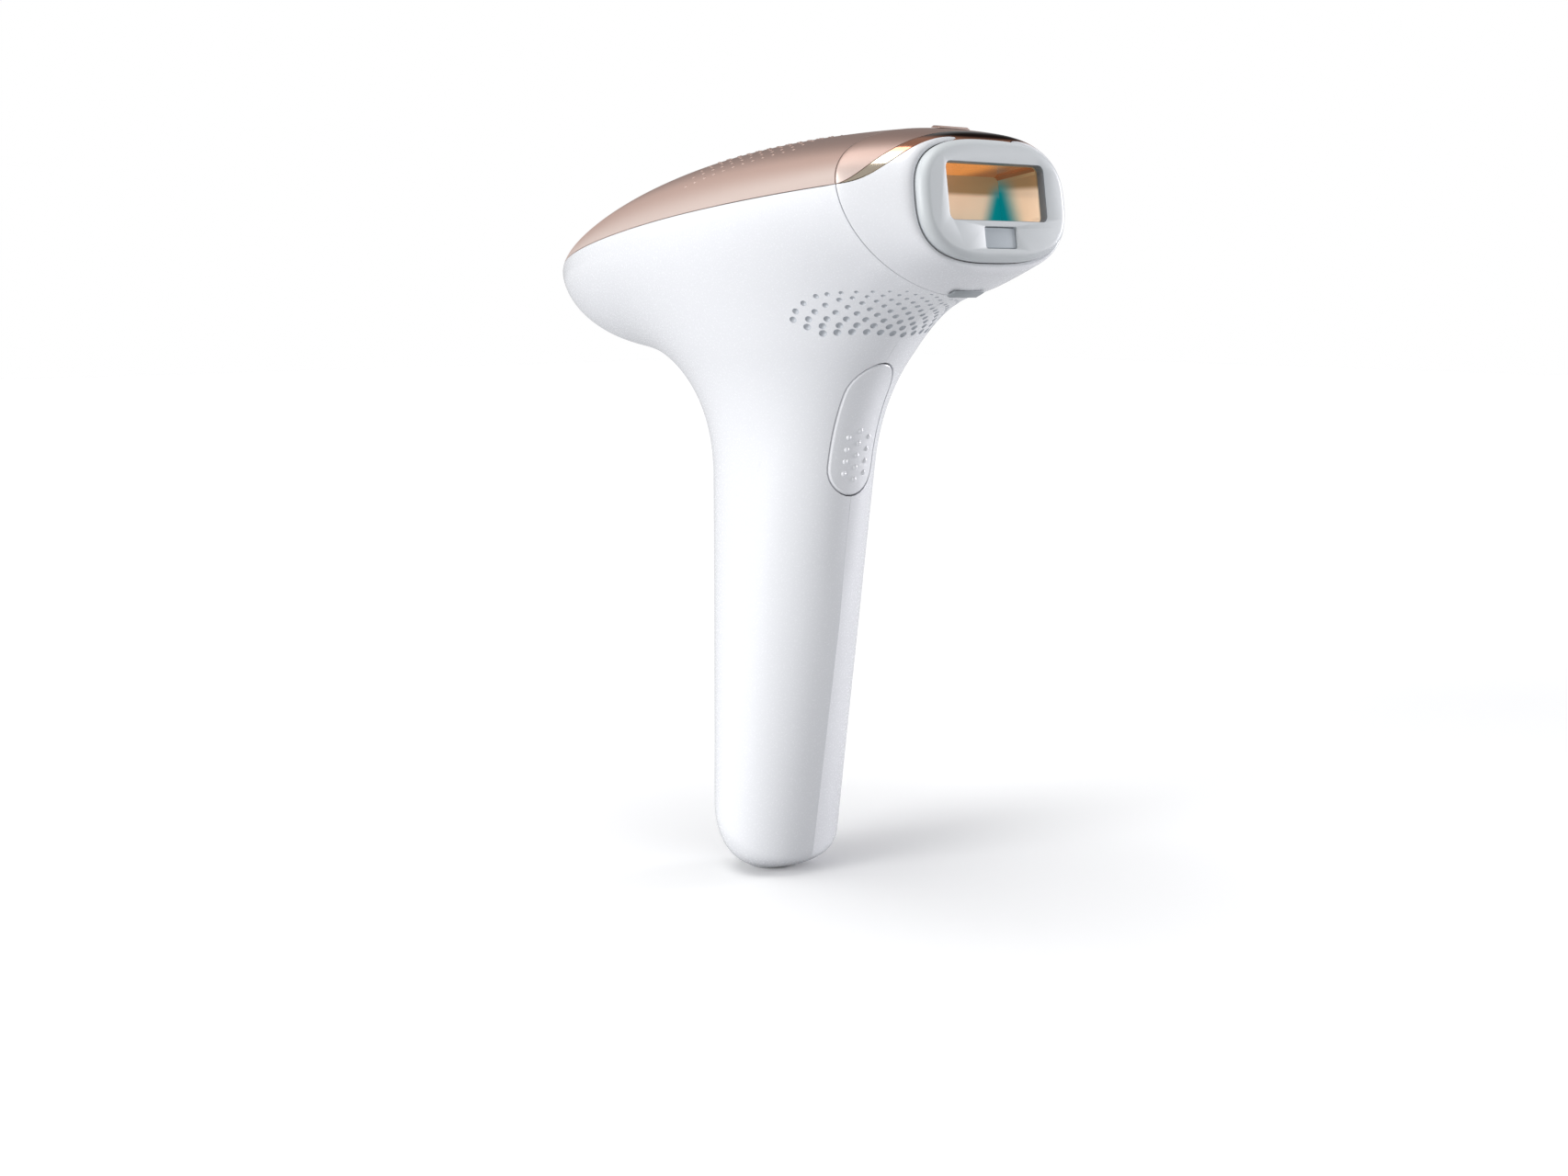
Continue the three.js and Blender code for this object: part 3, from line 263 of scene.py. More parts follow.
# ---------- meshes ----------
def mesh_object(name, points, faces):
    """An object from points in millimetres, with its faces turned outwards."""
    points = np.asarray(points, float)
    mesh = bpy.data.meshes.new(name)
    mesh.from_pydata((points * 0.001).tolist(), [], [list(face) for face in faces])
    mesh.validate()
    made = bpy.data.objects.new(name, mesh)
    bpy.context.scene.collection.objects.link(made)
    tidy = bmesh.new()
    tidy.from_mesh(mesh)
    bmesh.ops.remove_doubles(tidy, verts=tidy.verts, dist=1e-6)
    bmesh.ops.dissolve_degenerate(tidy, edges=tidy.edges, dist=1e-7)
    bmesh.ops.recalc_face_normals(tidy, faces=tidy.faces)
    if tidy.calc_volume(signed=True) < 0:
        bmesh.ops.reverse_faces(tidy, faces=tidy.faces)
    tidy.to_mesh(mesh)
    tidy.free()
    return made


def thick_patch(outer, inner, closed_across=False):
    """Points and faces of a closed skin between two grids that share their rows and columns."""
    rows, columns = outer.shape[:2]
    points = np.concatenate([outer.reshape(-1, 3), inner.reshape(-1, 3)])
    spans = columns if closed_across else columns - 1

    def at(layer, j, i):
        return layer * rows * columns + j * columns + i % columns

    faces = []
    for j in range(rows - 1):
        for i in range(spans):
            faces.append((at(0, j, i), at(0, j, i + 1), at(0, j + 1, i + 1), at(0, j + 1, i)))
            faces.append((at(1, j, i), at(1, j + 1, i), at(1, j + 1, i + 1), at(1, j, i + 1)))
        if not closed_across:
            faces.append((at(0, j, 0), at(0, j + 1, 0), at(1, j + 1, 0), at(1, j, 0)))
            faces.append((at(0, j, spans), at(1, j, spans), at(1, j + 1, spans), at(0, j + 1, spans)))
    for i in range(spans):
        faces.append((at(0, 0, i), at(1, 0, i), at(1, 0, i + 1), at(0, 0, i + 1)))
        faces.append((at(0, rows - 1, i), at(0, rows - 1, i + 1), at(1, rows - 1, i + 1), at(1, rows - 1, i)))
    return points, faces


def loft(rings):
    """Points and faces of a closed solid through rings of equally many points, capped at both ends."""
    rings = np.asarray(rings, float)
    rows, columns = rings.shape[:2]
    faces = []
    for j in range(rows - 1):
        for i in range(columns):
            p, q = j * columns + i, j * columns + (i + 1) % columns
            faces.append((p, q, q + columns, p + columns))
    faces.append(tuple(range(columns))[::-1])
    faces.append(tuple((rows - 1) * columns + i for i in range(columns)))
    return rings.reshape(-1, 3), faces


def combine(made, other, operation):
    """Applies a boolean with another object, which is then removed."""
    modifier = made.modifiers.new("boolean", "BOOLEAN")
    modifier.operation = operation
    modifier.object = other
    modifier.solver = "MANIFOLD"
    apply_modifiers(made)
    bpy.data.objects.remove(other)
    return made


def apply_modifiers(made):
    bpy.context.view_layer.update()
    evaluated = made.evaluated_get(bpy.context.evaluated_depsgraph_get())
    mesh = bpy.data.meshes.new_from_object(evaluated)
    made.modifiers.clear()
    made.data = mesh
    return made


def bevel(made, width, segments=3, angle=50):
    """Rounds the sharp edges of an object. The width is in millimetres."""
    modifier = made.modifiers.new("bevel", "BEVEL")
    modifier.width = width * 0.001
    modifier.segments = segments
    modifier.limit_method = "ANGLE"
    modifier.angle_limit = math.radians(angle)
    modifier.harden_normals = False
    return apply_modifiers(made)


def smooth(made, angle=35):
    mesh = made.data
    mesh.polygons.foreach_set("use_smooth", np.ones(len(mesh.polygons), bool))
    mesh.set_sharp_from_angle(angle=math.radians(angle))
    return made


def face_centres(made):
    """The middle of every face, in millimetres."""
    return np.array([face.center[:] for face in made.data.polygons]) * 1000


def smooth_on_form(made, level=0.0, reach=0.12, least_facing=0.8):
    """Smooth shading whose normals are the form's own wherever a face lies on one of its levels."""
    smooth(made)
    mesh = made.data
    points = np.empty(len(mesh.vertices) * 3)
    mesh.vertices.foreach_get("co", points)
    points = points.reshape(-1, 3) * 1000
    value, slope = slope_of(body_form, points)
    exact = slope / np.maximum(np.linalg.norm(slope, axis=-1, keepdims=True), 1e-9)
    near = np.abs(value - level) < reach
    corner = np.empty(len(mesh.loops) * 3, np.float32)
    mesh.corner_normals.foreach_get("vector", corner)
    corner = corner.reshape(-1, 3)
    vertex = np.empty(len(mesh.loops), int)
    mesh.loops.foreach_get("vertex_index", vertex)
    facing = np.empty(len(mesh.polygons) * 3)
    mesh.polygons.foreach_get("normal", facing)
    counts = np.empty(len(mesh.polygons), int)
    mesh.polygons.foreach_get("loop_total", counts)
    facing = np.repeat(facing.reshape(-1, 3), counts, 0)
    take = near[vertex] & ((facing * exact[vertex]).sum(-1) > least_facing)
    corner = np.where(take[:, None], exact[vertex], corner)
    mesh.normals_split_custom_set(corner.tolist())
    return made


def in_pod(made):
    """Moves an object's mesh from the pod's frame to the part's."""
    rows = [[*column, shift] for column, shift in zip(POD_FRAME.T.tolist(), (POD_ORIGIN * 0.001).tolist())]
    made.data.transform(Matrix([*rows, [0, 0, 0, 1]]))
    return made


def rounded_rectangle(centre, half_width, half_height, radius, steps=8):
    points = []
    for corner in range(4):
        side = 1 if corner in (0, 3) else -1
        level = 1 if corner < 2 else -1
        for i in range(steps + 1):
            angle = (corner + i / steps) * math.pi / 2
            points.append((
                side * (half_width - radius) + radius * math.cos(angle),
                centre + level * (half_height - radius) + radius * math.sin(angle),
            ))
    return np.array(points)


def superellipse(centre, half_width, half_height, n, count):
    t = np.arange(count) / count * 2 * math.pi
    cos, sin = np.cos(t), np.sin(t)
    y = half_width * signed_power(cos, 2 / n)
    c = centre + half_height * signed_power(sin, 2 / n)
    return np.stack([y, c], -1)


def ring_at(x, outline):
    """An outline of two coordinates as a ring of points at station x."""
    return np.concatenate([np.full((len(outline), 1), float(x)), outline], 1)


def prism(name, outline, low, high):
    return mesh_object(name, *loft([ring_at(low, outline), ring_at(high, outline)]))


def shrink(outline, by, centre=0.0):
    """Moves an outline's points by a set distance towards the point at `centre` on the middle plane."""
    middle = np.array([0.0, centre])
    arm = outline - middle
    return outline - arm / np.linalg.norm(arm, axis=1, keepdims=True) * by


# ---------- materials ----------
def linear(red, green, blue):
    """A display colour of 0 to 255 as the renderer's linear colour."""
    levels = [value / 255 for value in (red, green, blue)]
    return tuple(v / 12.92 if v <= 0.04045 else ((v + 0.055) / 1.055) ** 2.4 for v in levels) + (1.0,)


def material(name, color, roughness, noise, metallic=0.0, **more):
    """A material of a display colour. Its noise has a scale, a depth and a lowest and highest roughness."""
    made = bpy.data.materials.new(name)
    made.use_nodes = True
    shader = made.node_tree.nodes["Principled BSDF"]
    shader.inputs["Base Color"].default_value = linear(*color)
    shader.inputs["Roughness"].default_value = roughness
    shader.inputs["Metallic"].default_value = metallic
    for socket, value in more.items():
        shader.inputs[socket.replace("_", " ")].default_value = value
    return grain(made, *noise)


def grain(made, scale, depth, low, high):
    """Fine surface noise: a slight bump and a slight change of roughness."""
    tree = made.node_tree
    shader = tree.nodes["Principled BSDF"]
    place = tree.nodes.new("ShaderNodeTexCoord")
    noise = tree.nodes.new("ShaderNodeTexNoise")
    noise.inputs["Scale"].default_value = scale
    noise.inputs["Detail"].default_value = 2.0
    tree.links.new(place.outputs["Object"], noise.inputs["Vector"])
    spread = tree.nodes.new("ShaderNodeMapRange")
    spread.inputs["To Min"].default_value = low
    spread.inputs["To Max"].default_value = high
    tree.links.new(noise.outputs["Fac"], spread.inputs["Value"])
    tree.links.new(spread.outputs["Result"], shader.inputs["Roughness"])
    if depth:
        bump = tree.nodes.new("ShaderNodeBump")
        bump.inputs["Strength"].default_value = 0.3
        bump.inputs["Distance"].default_value = depth
        tree.links.new(noise.outputs["Fac"], bump.inputs["Height"])
        tree.links.new(bump.outputs["Normal"], shader.inputs["Normal"])
    return made


def mask(tree, value, low, high):
    """A value of 0 below `low` and 1 above `high`, eased between them."""
    made = tree.nodes.new("ShaderNodeMapRange")
    made.interpolation_type = "SMOOTHSTEP"
    made.inputs["From Min"].default_value = low
    made.inputs["From Max"].default_value = high
    tree.links.new(value, made.inputs["Value"])
    return made.outputs["Result"]


def times(tree, first, second):
    """The product of two values."""
    made = tree.nodes.new("ShaderNodeMath")
    made.operation = "MULTIPLY"
    tree.links.new(first, made.inputs[0])
    tree.links.new(second, made.inputs[1])
    return made.outputs["Value"]


def slanted(tree, first, second, share):
    """The first value plus a share of the second."""
    made = tree.nodes.new("ShaderNodeMath")
    made.operation = "MULTIPLY_ADD"
    tree.links.new(second, made.inputs[0])
    made.inputs[1].default_value = share
    tree.links.new(first, made.inputs[2])
    return made.outputs["Value"]


def blend(tree, factor, first, second):
    """Mixes two colours. Each is a colour or the output socket of another node."""
    made = tree.nodes.new("ShaderNodeMix")
    made.data_type = "RGBA"
    tree.links.new(factor, made.inputs["Factor"])
    for socket, color in ((made.inputs[6], first), (made.inputs[7], second)):
        if isinstance(color, tuple):
            socket.default_value = color
        else:
            tree.links.new(color, socket)
    return made.outputs[2]


def camera_sees(tree, others, camera, target):
    """Shows the camera one shader, and every other ray another."""
    ray = tree.nodes.new("ShaderNodeLightPath")
    choose = tree.nodes.new("ShaderNodeMixShader")
    tree.links.new(ray.outputs["Is Camera Ray"], choose.inputs["Fac"])
    tree.links.new(others, choose.inputs[1])
    tree.links.new(camera, choose.inputs[2])
    tree.links.new(choose.outputs["Shader"], target)


def parts_of(tree, output):
    """The x, y and z of a texture coordinate output."""
    place = tree.nodes.new("ShaderNodeTexCoord")
    split = tree.nodes.new("ShaderNodeSeparateXYZ")
    tree.links.new(place.outputs[output], split.inputs["Vector"])
    return split.outputs["X"], split.outputs["Y"], split.outputs["Z"]


def painted_shade_by_facing_up(made, stops):
    """Painted shade: colours by how far a face is turned up: (low, high, colour above) over the shader's own
    colour.
    """
    tree = made.node_tree
    shader = tree.nodes["Principled BSDF"]
    _, _, up_share = parts_of(tree, "Normal")
    color = tuple(shader.inputs["Base Color"].default_value)
    for low, high, above in stops:
        color = blend(tree, mask(tree, up_share, low, high), color, above)
    tree.links.new(color, shader.inputs["Base Color"])
    return made


def painted_strip_reflection(made):
    """A polished strip with a painted reflection of a studio: light at its tips, copper above, near black on
    the crown.
    """
    tree = made.node_tree
    shader = tree.nodes["Principled BSDF"]
    _, _, z = parts_of(tree, "Generated")
    color = blend(tree, mask(tree, z, 0.44, 0.6), linear(255, 238, 214), linear(216, 150, 120))
    color = blend(tree, mask(tree, z, 0.8, 0.9), color, linear(40, 26, 22))
    tree.links.new(color, shader.inputs["Base Color"])
    return made


def painted_window_reflections(made, tunnel):
    """Painted reflections on the coated glass and in the tunnel, which also glow: cream below, olive above, a
    teal edge at +Y.
    """
    tree = made.node_tree
    shader = tree.nodes["Principled BSDF"]
    x, y, z = parts_of(tree, "Generated")
    _, _, up_share = parts_of(tree, "Normal")
    # painted reflection: cream below and olive above, with a teal glow towards one edge
    color = blend(tree, mask(tree, z, 0.62, 0.72), linear(240, 219, 194), linear(156, 132, 98))
    teal = linear(6, 146, 154)
    fall = mask(tree, z, 0.95, 0.6)
    if tunnel:
        edge = mask(tree, slanted(tree, x, z, 0.4), 0.8, 0.3)
        color = blend(tree, times(tree, edge, fall), color, teal)
        # painted reflection: faces turned down in the tunnel show an orange ceiling, darker towards +Y
        painted_ceiling_reflection = blend(tree, mask(tree, y, 0.5, 0.8), linear(246, 156, 74), linear(140, 78, 40))
        color = blend(tree, mask(tree, up_share, -0.4, -0.8), color, painted_ceiling_reflection)
    else:
        edge = mask(tree, slanted(tree, y, z, -0.2), 0.7, 0.86)
        color = blend(tree, times(tree, edge, fall), color, teal)
    tree.links.new(color, shader.inputs["Base Color"])
    # painted glow: the glass and the tunnel glow in their painted colours, though they are no lamp
    tree.links.new(color, shader.inputs["Emission Color"])
    shader.inputs["Emission Strength"].default_value = 0.38
    return made


white_noise = (2400, 2e-6, 0.25, 0.29)
white = material("white_gloss", (236, 237, 240), 0.26, white_noise, Coat_Weight=0.5, Coat_Roughness=0.06)
rose = material("rose_satin", (218, 199, 190), 0.4, (2600, 1e-5, 0.36, 0.44), 0.25)
# painted shade: the rose satin is painted darker the more a face turns up, darkest on the crown
rose = painted_shade_by_facing_up(rose, [(0.2, 0.75, linear(188, 158, 146)), (0.7, 0.97, linear(130, 104, 94))])
# painted reflection: the copper strip is painted light at its tips and near black on the crown
copper = painted_strip_reflection(material("copper_polish", (250, 226, 186), 0.12, (1500, 0, 0.1, 0.16), 1.0))
grey = material("grey_satin", (204, 208, 210), 0.4, (1800, 1e-5, 0.36, 0.46))
clear = material("clear_plastic", (206, 213, 219), 0.2, (1200, 0, 0.16, 0.26), Transmission_Weight=0.1)
# painted reflections and glow on the filter glass and on the tunnel's walls
painted_glass_reflections = painted_window_reflections(material("filter_glass", (236, 215, 185), 0.08, (400, 0, 0.06, 0.12)), False)
tunnel_mirror = material("tunnel_mirror", (232, 226, 214), 0.1, (400, 0, 0.08, 0.14), 0.35)
tunnel_mirror = painted_window_reflections(tunnel_mirror, True)
# painted shade: a darker grey for the insides of the vent dimples
dimple_painted_shade = material("dimple", (196, 200, 205), 0.35, (2400, 2e-6, 0.32, 0.38))
# painted shade: a dark grey for the wall round the window's opening
window_wall_painted_shade = material("window_rim", (112, 120, 126), 0.4, (1800, 1e-5, 0.36, 0.46))
# painted shade: a darker grey for the bottom catch, standing in for the shade on its underside
catch_painted_shade = material("dark_grey", (160, 165, 168), 0.4, (1800, 1e-5, 0.36, 0.46))

looks = {
    "white_shell": white,
    "rose_satin": rose,
    "copper_strip": copper,
    "grey_plastic": grey,
    "clear_plastic": clear,
    "filter_glass": painted_glass_reflections,
    "dark_plastic": material("dark_plastic", (38, 39, 43), 0.5, (1500, 1e-5, 0.45, 0.6)),
    "light_plastic": material("light_plastic", (196, 198, 202), 0.5, (1500, 1e-5, 0.42, 0.55)),
    "circuit_board": material("circuit_board", (24, 96, 58), 0.5, (700, 0, 0.35, 0.55)),
    "steel": material("steel", (190, 192, 196), 0.3, (900, 0, 0.24, 0.36), 1.0),
    "copper_wire": material("copper_wire", (184, 112, 66), 0.35, (900, 0, 0.3, 0.42), 1.0),
    "capacitor_sleeve": material("capacitor_sleeve", (22, 44, 84), 0.4, (900, 0, 0.36, 0.5)),
    "lamp_glass": material("lamp_glass", (240, 246, 248), 0.05, (600, 0, 0.04, 0.1), Transmission_Weight=0.8),
    "mirror": material("mirror", (232, 226, 214), 0.08, (400, 0, 0.06, 0.12), 1.0),
}
slot_of = {entry["node"]: entry["material_slot"] for entry in frame["record"]["subparts"]}
for node, made in frame["nodes"].items():
    made.data.materials.clear()
    made.data.materials.append(tunnel_mirror if node == "light_tunnel" else looks[slot_of[node]])


def dress(made, finish, node, body):
    """Gives a piece its material, hangs it on its body and hides the CAD node that it stands for."""
    made.data.materials.clear()
    made.data.materials.append(finish)
    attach(made, body)
    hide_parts(node)
    return made


# ---------- white half shells ----------
def cover_height(a):
    s = np.clip(-a / POD["length"], 0, 1)
    line = COVER_LINE
    return line["at_seam"] + (line["at_nose"] - line["at_seam"]) * s + line["bow"] * 4 * s * (1 - s)


def cover_normal(a):
    slope = cover_height(a + 0.5) - cover_height(a - 0.5)
    normal = AXIS_C - np.asarray(slope)[..., None] * AXIS_A
    return normal / np.linalg.norm(normal, axis=-1, keepdims=True)


def nose_end():
    """Station where the parting line meets the nose on the middle plane."""
    low, high = 0.5, 1.0
    for _ in range(40):
        s = (low + high) / 2
        if cover_height(-s * POD["length"]) < crown_height(s) * pod_taper(s):
            low = s
        else:
            high = s
    return -low * POD["length"]


NOSE_END = nose_end()


def pod_half_width(a, c):
    s = np.clip(-a / POD["length"], 0, 1)
    n = np.where(c > 0, POD["round_top"], POD["round_bottom"])
    height = np.where(c > 0, crown_height(s), belly_depth(s)) * pod_taper(s)
    inside = np.maximum(1 - np.abs(c / np.maximum(height, 1e-6)) ** n, 0)
    return POD["width"] * pod_taper(s) * inside ** (1 / n)


def upper_edge(u):
    """Upper edge of a half, the direction the skin arrives in, and the normals that hold its points."""
    t = np.clip(u / SEAM_SHARE, 0, 1) * math.pi / 2
    n = 2 / POD["round_bottom"]
    seam = from_pod(-GAP / 2, POD["width"] * np.sin(t) ** n, -POD["bottom"] * np.cos(t) ** n)
    rise = 0.9 * np.clip(u / SEAM_SHARE, 0, 1)[..., None]
    seam_arrive = AXIS_A + rise * AXIS_C
    seam_arrive /= np.linalg.norm(seam_arrive, axis=-1, keepdims=True)
    t = np.clip((u - SEAM_SHARE) / (1 - SEAM_SHARE), 0, 1)
    a = -GAP / 2 + (NOSE_END + GAP / 2) * np.sin(t * math.pi / 2)
    c = cover_height(a) - PARTING
    side = from_pod(a, pod_half_width(a, c), c)
    on_seam = (u <= SEAM_SHARE)[..., None]
    return (
        np.where(on_seam, seam, side),
        np.where(on_seam, seam_arrive, AXIS_C),
        np.where(on_seam, AXIS_A, cover_normal(a)),
    )


def half_shell(depth, columns, rows, rim=0.0):
    """Grid of points on the left half at a depth below the form. The rim drops by `rim` at the upper edge."""
    u = np.linspace(0, 1, columns + 1)
    v = np.append(np.linspace(0, 1, rows + 1)[:-1], [1 - 0.0016, 1 - 0.0006, 1])
    drop = np.zeros(len(v))
    drop[-2:] = rim * EDGE_BEND, rim
    angle = u * math.pi
    flat_z = END["z"] + END["flat"]
    end_z = END["z"] + END["cap_rear"]

    def on_handle(z, share_x, share_y):
        centre, half_depth, half_width = handle_section(z)
        x = centre + share_x * half_depth * np.cos(angle)
        return np.stack([x, share_y * half_width * np.sin(angle), np.full_like(x, z)], -1)

    _, flat_depth, flat_width = handle_section(flat_z)
    edge, arrive, edge_normal = upper_edge(u)
    start = on_handle(GRIP_TOP, 1, 1)
    span = np.linalg.norm(edge - start, axis=-1, keepdims=True)
    rows_out = []
    for row in v:
        if row <= FLAT_DONE:
            t = row / FLAT_DONE
            share = END["share"] * t
            points = on_handle(
                flat_z,
                share + (1 - t) * INLET_MOUTH / flat_depth,
                share + (1 - t) * INLET_MOUTH / flat_width,
            )
            points[:, 2] += depth
        elif row <= END_DONE:
            t = (row - FLAT_DONE) / (END_DONE - FLAT_DONE) * math.pi / 2
            z = flat_z + (end_z - flat_z) * (1 - math.cos(t))
            share = END["share"] + (1 - END["share"]) * math.sin(t)
            points = on_handle(z, share, share)
        elif row <= GRIP_DONE:
            t = (row - END_DONE) / (GRIP_DONE - END_DONE)
            points = on_handle(end_z + (GRIP_TOP - end_z) * t, 1, 1)
        else:
            t = (row - GRIP_DONE) / (1 - GRIP_DONE)
            points = start * (2 * t**3 - 3 * t**2 + 1) + edge * (3 * t**2 - 2 * t**3)
            points[:, 2:] += 0.8 * span * (t**3 - 2 * t**2 + t)
            points += arrive * 0.9 * span * (t**3 - t**2)
        rows_out.append(points)
    grid = np.stack(rows_out)
    on_flat = v <= FLAT_DONE
    middle = np.zeros((len(v), len(u), 1))
    middle[:, [0, -1]] = 1
    grid[..., 1] = np.where(middle[..., 0] > 0, 0.0, grid[..., 1])
    top = np.zeros((len(v), 1, 1))
    top[-1] = 1
    held = (middle * AXIS_Y, top * edge_normal[None])
    level = -(depth + drop)[:, None]
    settled = settle(grid, level, held)
    grid = np.where(on_flat[:, None, None], grid, settled)
    grid[..., 1] = np.maximum(grid[..., 1], MIDDLE_GAP)
    return grid


columns, rows = int(110 * FINE), int(190 * FINE)
outer, inner = half_shell(0, columns, rows, EDGE_DROP), half_shell(WALL, columns, rows)


def trigger_outline(grow=0.0, steps=14, along=24):
    """A tall slot with round ends, with points down its straight sides so that it can follow the form."""
    radius = TRIGGER["half_width"] + grow
    upper, lower = TRIGGER["top"] - TRIGGER["half_width"], TRIGGER["bottom"] + TRIGGER["half_width"]
    turn = np.linspace(0, math.pi, steps + 1)
    straight = np.linspace(upper, lower, along + 1)[1:-1]
    top = np.stack([radius * np.cos(turn), upper + radius * np.sin(turn)], -1)
    left = np.stack([np.full_like(straight, -radius), straight], -1)
    bottom = np.stack([-radius * np.cos(turn), lower - radius * np.sin(turn)], -1)
    right = np.stack([np.full_like(straight, radius), straight[::-1]], -1)
    return np.concatenate([top, left, bottom, right])


def vent_centres():
    """Staggered rows of dimples across the underside behind the attachment, with their radii."""
    field = VENTS
    rise = field["highest"] - field["lowest"]
    centres, radii = [], []
    for row, steps in enumerate(VENT_STEPS):
        level = field["lowest"] + rise * (1 - math.exp(-row / field["level_fade"]))
        pitch = field["pitch"] + field["widen"] * (1 - math.exp(-row / field["pitch_fade"]))
        wrap = field["wrap"] * math.exp(field["wrap_growth"] * row)
        droop = field["droop"] - field["droop_less"] * min(row, field["droop_rows"])
        for step in np.arange(-steps, steps + 0.1):
            y = wrap * math.sin(step * pitch / wrap)
            centres.append((y, level + field["lift"] * abs(y) - droop * abs(y) ** 3))
            radii.append(field["radius"] - field["shrink"] * row)
    centres = np.array(centres)
    return on_front(centres[:, 0], centres[:, 1]), np.array(radii)


def balls(name, centres, normals, radii, depth_share, raised=False, around=20, up=12):
    """Balls that meet the surface in circles of the given radii, to cut dimples with or to add as dots."""
    points, faces = [], []
    for centre, normal, radius in zip(centres, normals, radii):
        depth = depth_share * radius
        ball = (radius**2 + depth**2) / (2 * depth)
        lift = depth - ball if raised else ball - depth
        turn = Vector(normal).to_track_quat("Z", "Y").to_matrix()
        first = len(points)
        for j in range(up + 1):
            polar = math.pi * (1 - j / up)
            for i in range(around):
                spin = 2 * math.pi * i / around
                flat = math.sin(polar)
                local = Vector((flat * math.cos(spin), flat * math.sin(spin), math.cos(polar)))
                points.append(centre + lift * normal + np.array(turn @ local) * ball)
        for j in range(up):
            for i in range(around):
                p, q = first + j * around + i, first + j * around + (i + 1) % around
                faces.append((p, q, q + around, p + around))
    return mesh_object(name, points, faces)


def beyond_panel():
    """A block over the nose, from the rear panel's edge backwards."""
    square = np.array([(-60, -60), (60, -60), (60, 60), (-60, 60)], float)
    return in_pod(prism("nose_cut", square, -POD["length"] - 20, PANEL_AT))


def paint_dimple_shade(shell, centres, radii):
    """Paints the faces near a dimple that lie 0.04 to 1.16 mm below the form a darker grey: painted shade in
    the dimples.
    """
    shell.data.materials.append(dimple_painted_shade)
    places = face_centres(shell)
    deep = np.flatnonzero(np.abs(body_form(places) + 0.6) < 0.56)
    near = np.linalg.norm(places[deep][:, None] - centres[None], axis=-1) < radii * 1.25
    for index in deep[near.any(1)]:
        shell.data.polygons[int(index)].material_index = 1


vents, vent_radii = vent_centres()
vent_normals = normals_at(vents)
for side, name in ((1, "housing_left"), (-1, "housing_right")):
    flip = np.array([1, side, 1])
    shell = mesh_object(name + "_skin", *thick_patch(outer * flip, inner * flip))
    combine(shell, prism("hole", trigger_outline(TRIGGER["gap"]), 8, 60), "DIFFERENCE")
    combine(shell, beyond_panel(), "DIFFERENCE")
    mine = vents[:, 1] * side > -0.5
    cutter = balls("dimples", vents[mine], vent_normals[mine], vent_radii[mine], VENTS["depth_share"])
    combine(shell, cutter, "DIFFERENCE")
    smooth_on_form(shell)
    dress(shell, white, name, "body")
    paint_dimple_shade(shell, vents, vent_radii)


# ---------- top cover ----------
def cover_grid(depth, columns, rows, rim=0.0):
    t = np.linspace(0, 1, rows + 1)
    close = np.array([0, 0.0012, 0.004])
    w = np.concatenate([close, np.linspace(0, 1, columns + 1)[1:-1], 1 - close[::-1]])
    a = (-GAP / 2 + (PANEL_AT + GAP / 2) * np.sin(t * math.pi / 2))[:, None]
    s = -a / POD["length"]
    height = crown_height(s) * pod_taper(s)
    foot = cover_height(a) + PARTING
    start = np.arcsin(np.clip(np.clip(foot / np.maximum(height, 1e-6), 0, 1) ** (POD["round_top"] / 2), 0, 1))
    angle = start + (math.pi - 2 * start) * w[None]
    n = 2 / POD["round_top"]
    y = POD["width"] * pod_taper(s) * signed_power(np.cos(angle), n)
    c = height * np.abs(np.sin(angle)) ** n
    edge = np.zeros_like(angle)
    edge[:, [0, -1]] = 1
    grid = from_pod(a + 0 * y, y, np.where(edge > 0, foot, c))
    held = np.where(edge[..., None] > 0, cover_normal(a + 0 * y), AXIS_A)
    drop = np.zeros(len(w))
    drop[[0, -1]] = rim
    drop[[1, -2]] = rim * EDGE_BEND
    return settle(grid, -(depth + drop)[None], (held,))


def crown_dots():
    """A staggered field of dots over the crown, a little narrower in front."""
    field = CROWN_DOTS
    places = []
    count = int((field["front"] - field["rear"]) / field["pitch_a"])
    for row in range(count + 1):
        a = field["rear"] + row * field["pitch_a"]
        s = -a / POD["length"]
        half = field["half_rear"] + (field["half_front"] - field["half_rear"]) * row / count
        steps = int(half / field["pitch_y"] - (row % 2) / 2) + (row % 2) / 2
        for step in np.arange(-steps, steps + 0.1):
            y = step * half / steps
            share = 1 - abs(y / (POD["width"] * pod_taper(s))) ** POD["round_top"]
            places.append(from_pod(a, y, crown_height(s) * pod_taper(s) * share ** (1 / POD["round_top"])))
    return settle(np.array(places), 0, (AXIS_A, AXIS_Y))


columns, rows = int(110 * FINE), int(120 * FINE)
outer = cover_grid(0, columns, rows, COVER_EDGE_DROP)
inner = cover_grid(COVER_WALL, columns, rows)
cover = mesh_object("top_cover_skin", *thick_patch(outer, inner))
dots = crown_dots()
radii = [CROWN_DOTS["radius"]] * len(dots)
raised = balls("dots", dots, normals_at(dots), radii, CROWN_DOTS["depth_share"], True, 14, 10)
combine(cover, raised, "UNION")
smooth_on_form(cover)
dress(cover, rose, "top_cover", "body")


# ---------- attachment ----------
def seam_ring(a, count):
    """A ring of (y, c) points on the form at station a, starting at +Y and running over the crown."""
    t = np.arange(count) / count * 2 * math.pi
    cos, sin = np.cos(t), np.sin(t)
    n = np.where(sin > 0, 2 / POD["round_top"], 2 / POD["round_bottom"])
    y = POD["width"] * signed_power(cos, n)
    c = np.where(sin > 0, POD["top"], -POD["bottom"]) * np.abs(sin) ** n
    return to_pod(settle(from_pod(a, y, c), 0, (AXIS_A,)))[:, 1:]


def pad_outline(grow, count):
    return superellipse(PAD["centre"], PAD["half_width"] + grow, PAD["half_height"] + grow, PAD["n"], count)


